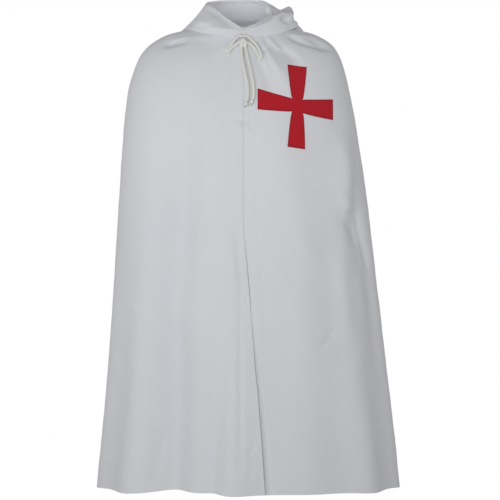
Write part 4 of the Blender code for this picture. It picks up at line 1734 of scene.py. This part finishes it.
@dataclass
class Cross:
    """Red cross with four flared arms, sewn on the left breast."""

    form: CapeForm
    x: float = 0.131
    z: float = -0.187
    span: float = 0.195
    root_width: float = 0.0235
    root_height: float = 0.030
    droop: float = 0.121
    droop_bow: float = 0.505
    area: float = 0.0140
    clearance: float = 0.0004
    thickness: float = 0.0010
    arm_cells: int = 44
    width_cells: int = 16
    samples: int = 64
    edge_stitch: float = 0.00055
    stitch_inside: float = 0.0026
    stitch_outside: float = 0.0005
    thread: float = 0.00032

    def arm_sides(self, arm: Arm, share: Array) -> tuple[Array, Array, Array]:
        """Two sides of an arm.

        Args:
            arm: the arm.
            share: shares of its length from the root.

        Returns:
            Lengths out from the middle there, and how far aside its right and its left side lie.
        """
        middle = (0.5 * self.root_width, 0.5 * self.root_height)
        start, half_root = middle[::-1] if arm.quarter % 2 else middle
        half = half_root + (0.5 * arm.end_width - half_root) * share ** arm.flare
        lean = arm.lean * share
        return start + (arm.length - start) * share, lean - half, lean + half

    def turned(self, arm: Arm, out: Array, aside: Array) -> tuple[Array, Array]:
        """Flat places right of and above the middle, of lengths out along an arm and aside from it."""
        cosine, sine = QUARTER_WAYS[arm.quarter]
        return cosine * out - sine * aside, sine * out + cosine * aside

    def on_breast(self, right: Array, up: Array, lift: float) -> Array:
        """Points of the flat cross laid on the breast, that far above the cloth."""
        return self.form.above_front(*self.breast_place(right, up), lift)

    def breast_place(self, right: Array, up: Array) -> tuple[Array, Array]:
        """Where on the breast the points of the flat cross lie.

        Args:
            right: lengths of cloth from the middle, to the wearer's left.
            up: lengths up from it.

        Returns:
            Their x and z.
        """
        across = np.linspace(self.x - 0.5 * self.span, self.x + 0.5 * self.span, self.samples + 1)
        points = self.form.above_front(across, self.z, 0.0)
        length = lengths_along(points[:, :2])
        x = np.interp(right, length - np.interp(self.x, across, length), across)
        return x, self.z + up - self.droop * right + self.droop_bow * right ** 2

    def arm_grid(self, arm: Arm) -> tuple[Array, Array]:
        """Flat places over an arm.

        Args:
            arm: the arm.

        Returns:
            How far right of the middle and above it they are.
        """
        out, near, far = self.arm_sides(arm, np.linspace(0.0, 1.0, self.arm_cells + 1)[:, None])
        aside = near + (far - near) * np.linspace(0.0, 1.0, self.width_cells + 1)[None]
        return self.turned(arm, np.broadcast_to(out, aside.shape), aside)

    def patch(self, right: Array, up: Array) -> Shape:
        """Closed wall over a grid of flat places.

        Args:
            right: how far right of the middle they are.
            up: how far above it they are.

        Returns:
            The wall.
        """
        outer = self.on_breast(right, up, self.clearance + self.thickness)
        inner = self.on_breast(right, up, self.clearance)
        return ClothGrid(outer, inner, np.stack((right, up), axis=-1)).wall()

    def outline(self) -> Array:
        """Flat outline, all the way round.

        Returns:
            Its points, right of and above the middle.
        """
        share = np.linspace(0.0, 1.0, self.arm_cells + 1)
        sides = []
        for arm in CROSS_ARMS:
            out, near, far = self.arm_sides(arm, share)
            for reach, aside in ((out, near), (out[::-1], far[::-1])):
                sides.append(np.stack(self.turned(arm, reach, aside), axis=-1))
        return np.concatenate(sides + [sides[0][:1]])

    def border(self) -> Shape:
        """Close stitches over the raw edge.

        Returns:
            The stitches.
        """
        line = self.outline()
        length = lengths_along(line)
        keep = np.concatenate(([True], np.diff(length) > 0))
        line = line[keep]
        at = np.arange(0.0, length[-1], self.edge_stitch)
        places = resample(line, at)
        ahead = resample(line, np.minimum(at + self.edge_stitch, length[-1]))
        back = resample(line, np.maximum(at - self.edge_stitch, 0.0))
        run = unit(ahead - back)
        inward = np.stack((-run[:, 1], run[:, 0]), axis=-1)
        first = places - self.stitch_outside * inward
        last = places + self.stitch_inside * inward
        starts = self.on_breast(*first.T, self.clearance)
        ends = self.on_breast(*last.T, self.clearance + self.thickness)
        ways = self.form.front_outward(*self.breast_place(*places.T))
        return stitches(starts, ends, ways, self.thread)

    def build(self, cloth: bpy.types.Material, thread: bpy.types.Material) -> None:
        """Make the cross and the stitching round it.

        Args:
            cloth: finish of the cross.
            thread: finish of its stitching.
        """
        share = np.linspace(-0.5, 0.5, self.width_cells + 1)
        middle = np.broadcast_arrays(self.root_width * share[None], self.root_height * share[::-1, None])
        patches = [self.patch(*middle)]
        for arm in CROSS_ARMS:
            right, up = self.arm_grid(arm)
            patches.append(self.patch(right.T[::-1], up.T[::-1]))
        piece = place_piece("cross_cloth", joined(patches), cloth)
        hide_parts("cross")
        sewn = place_piece("cross_stitching", self.border(), thread)


@dataclass
class Tack:
    """Short bar of stitches that holds the two fronts together at the breast."""

    form: CapeForm
    x: float = 0.0046
    z: float = -0.2265
    half_width: float = 0.0065
    height: float = 0.0035
    threads: int = 9
    radius: float = 0.0004
    lift: float = 0.0003

    def build(self, thread: bpy.types.Material) -> None:
        """Make the stitches.

        Args:
            thread: finish of the stitches.
        """
        levels = self.z + np.linspace(-0.5, 0.5, self.threads) * self.height
        starts = self.form.above_front(self.x - self.half_width, levels, self.lift)
        ends = self.form.above_front(self.x + self.half_width, levels, self.lift)
        ways = self.form.front_outward(self.x, levels)
        place_piece("front_tack", stitches(starts, ends, ways, self.radius), thread)


class Lamp(NamedTuple):
    """Soft area light: its place, what it points at, its size and its power."""

    name: str
    place: tuple[float, float, float]
    aim: tuple[float, float, float]
    size: float
    watts: float


@dataclass
class Studio:
    """Camera at the photograph's angle, soft lights, pale floor and white surroundings."""

    middle_x: float = 0.0204
    middle_z: float = -0.5232
    distance: float = 4.5
    frame_width: float = 1.2
    sensor: float = 36.0
    floor_z: float = -1.46
    floor_radius: float = 2.5
    floor_segments: int = 96
    floor_colour: tuple[float, float, float] = (236, 236, 238)
    floor_roughness: float = 0.7
    floor_cloud: float = 0.1
    floor_cloud_scale: float = 3.0
    floor_cloud_detail: float = 2.0
    surround: float = 0.69
    overhead_loss: float = 0.78
    left_loss: float = 0.09
    lamps: tuple[Lamp, ...] = (
        Lamp("key", (-0.45, -1.85, -0.15), (0.0, 0.0, -0.35), 1.1, 10.0),
        Lamp("neck fill", (-0.006, -0.034, 0.050), (0.0, 0.10, 0.034), 0.07, 0.040),
        Lamp("hood fill", (0.0, 0.018, 0.078), (0.0, 0.075, 0.012), 0.05, 0.010),
        Lamp("rear", (0.5, 3.2, 0.6), (0.0, 0.0, -0.5), 2.0, 30.0),
    )

    def add_camera(self) -> None:
        """Level camera in front of the cape."""
        data = bpy.data.cameras.new("camera")
        data.sensor_width = self.sensor
        data.lens = self.sensor * self.distance / self.frame_width
        camera = bpy.data.objects.new("camera", data)
        camera.location = (self.middle_x, -self.distance, self.middle_z)
        camera.rotation_euler = (math.radians(90), 0.0, 0.0)
        bpy.context.scene.collection.objects.link(camera)
        bpy.context.scene.camera = camera

    def add_lamps(self) -> None:
        """Soft lights."""
        for lamp in self.lamps:
            data = bpy.data.lights.new(lamp.name, "AREA")
            data.shape = "DISK"
            data.size = lamp.size
            data.energy = lamp.watts
            light = bpy.data.objects.new(lamp.name, data)
            light.location = lamp.place
            towards = Vector(lamp.aim) - Vector(lamp.place)
            light.rotation_euler = towards.to_track_quat("-Z", "Y").to_euler()
            light.visible_camera = False
            bpy.context.scene.collection.objects.link(light)

    def add_surround(self) -> None:
        """White surroundings that shine less than they look, least from above and from the wearer's left."""
        world = bpy.data.worlds.new("studio")
        world.use_nodes = True
        bpy.context.scene.world = world
        graph = Graph(world.node_tree)
        seen = graph.node("ShaderNodeLightPath", output="Is Camera Ray")
        way = graph.node("ShaderNodeTexCoord", output="Generated")
        aside = graph.part_of(way, 0)
        height = graph.part_of(way, 2)
        light = self.surround * (1 - self.overhead_loss * height.maths("MAXIMUM", height, 0.0))
        light = light * (1 - self.left_loss * aside.maths("MAXIMUM", aside, 0.0))
        shine = light + (1 - light) * seen
        white = graph.node("ShaderNodeBackground", None, {"Color": (1.0, 1.0, 1.0, 1.0), "Strength": shine})
        graph.node("ShaderNodeOutputWorld", None, {"Surface": white})

    def add_floor(self) -> None:
        """Round pale floor under the cape."""
        mesh = bpy.data.meshes.new("floor")
        turns = 2 * math.pi * np.arange(self.floor_segments) / self.floor_segments
        radius = self.floor_radius
        ring = [(radius * math.cos(turn), radius * math.sin(turn), self.floor_z) for turn in turns]
        mesh.from_pydata(ring, [], [list(range(self.floor_segments))])
        material, graph = start_material("floor")
        cloud = graph.noise(self.floor_cloud_scale, self.floor_cloud_detail)
        roughness = self.floor_roughness + self.floor_cloud * cloud
        graph.finish({"Base Color": linear(self.floor_colour), "Roughness": roughness})
        mesh.materials.append(material)
        floor = bpy.data.objects.new("floor", mesh)
        bpy.context.scene.collection.objects.link(floor)

    def build(self) -> None:
        """Set up the whole studio."""
        bpy.context.scene.view_settings.view_transform = "Standard"
        self.add_camera()
        self.add_lamps()
        self.add_surround()
        self.add_floor()


def main() -> None:
    """Dress the cape and light it."""
    logging.basicConfig(level=logging.INFO, format="%(message)s")
    for leftover in list(bpy.data.objects):
        bpy.data.objects.remove(leftover)
    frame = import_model()
    LOG.info("frame: %d nodes", len(frame["nodes"]))
    form = CapeForm()
    tailor = Tailor(WHITE_CLOTH.material(), WHITE_THREAD.material())
    Studio().build()
    Drawstring(form).build(CREAM_CORD.material())
    CapeBody(form).build(tailor)
    Hood(form).build(tailor)
    Cross(form).build(RED_CLOTH.material(), RED_THREAD.material())
    Tack(form).build(tailor.thread)


if __name__ == "__main__":
    main()
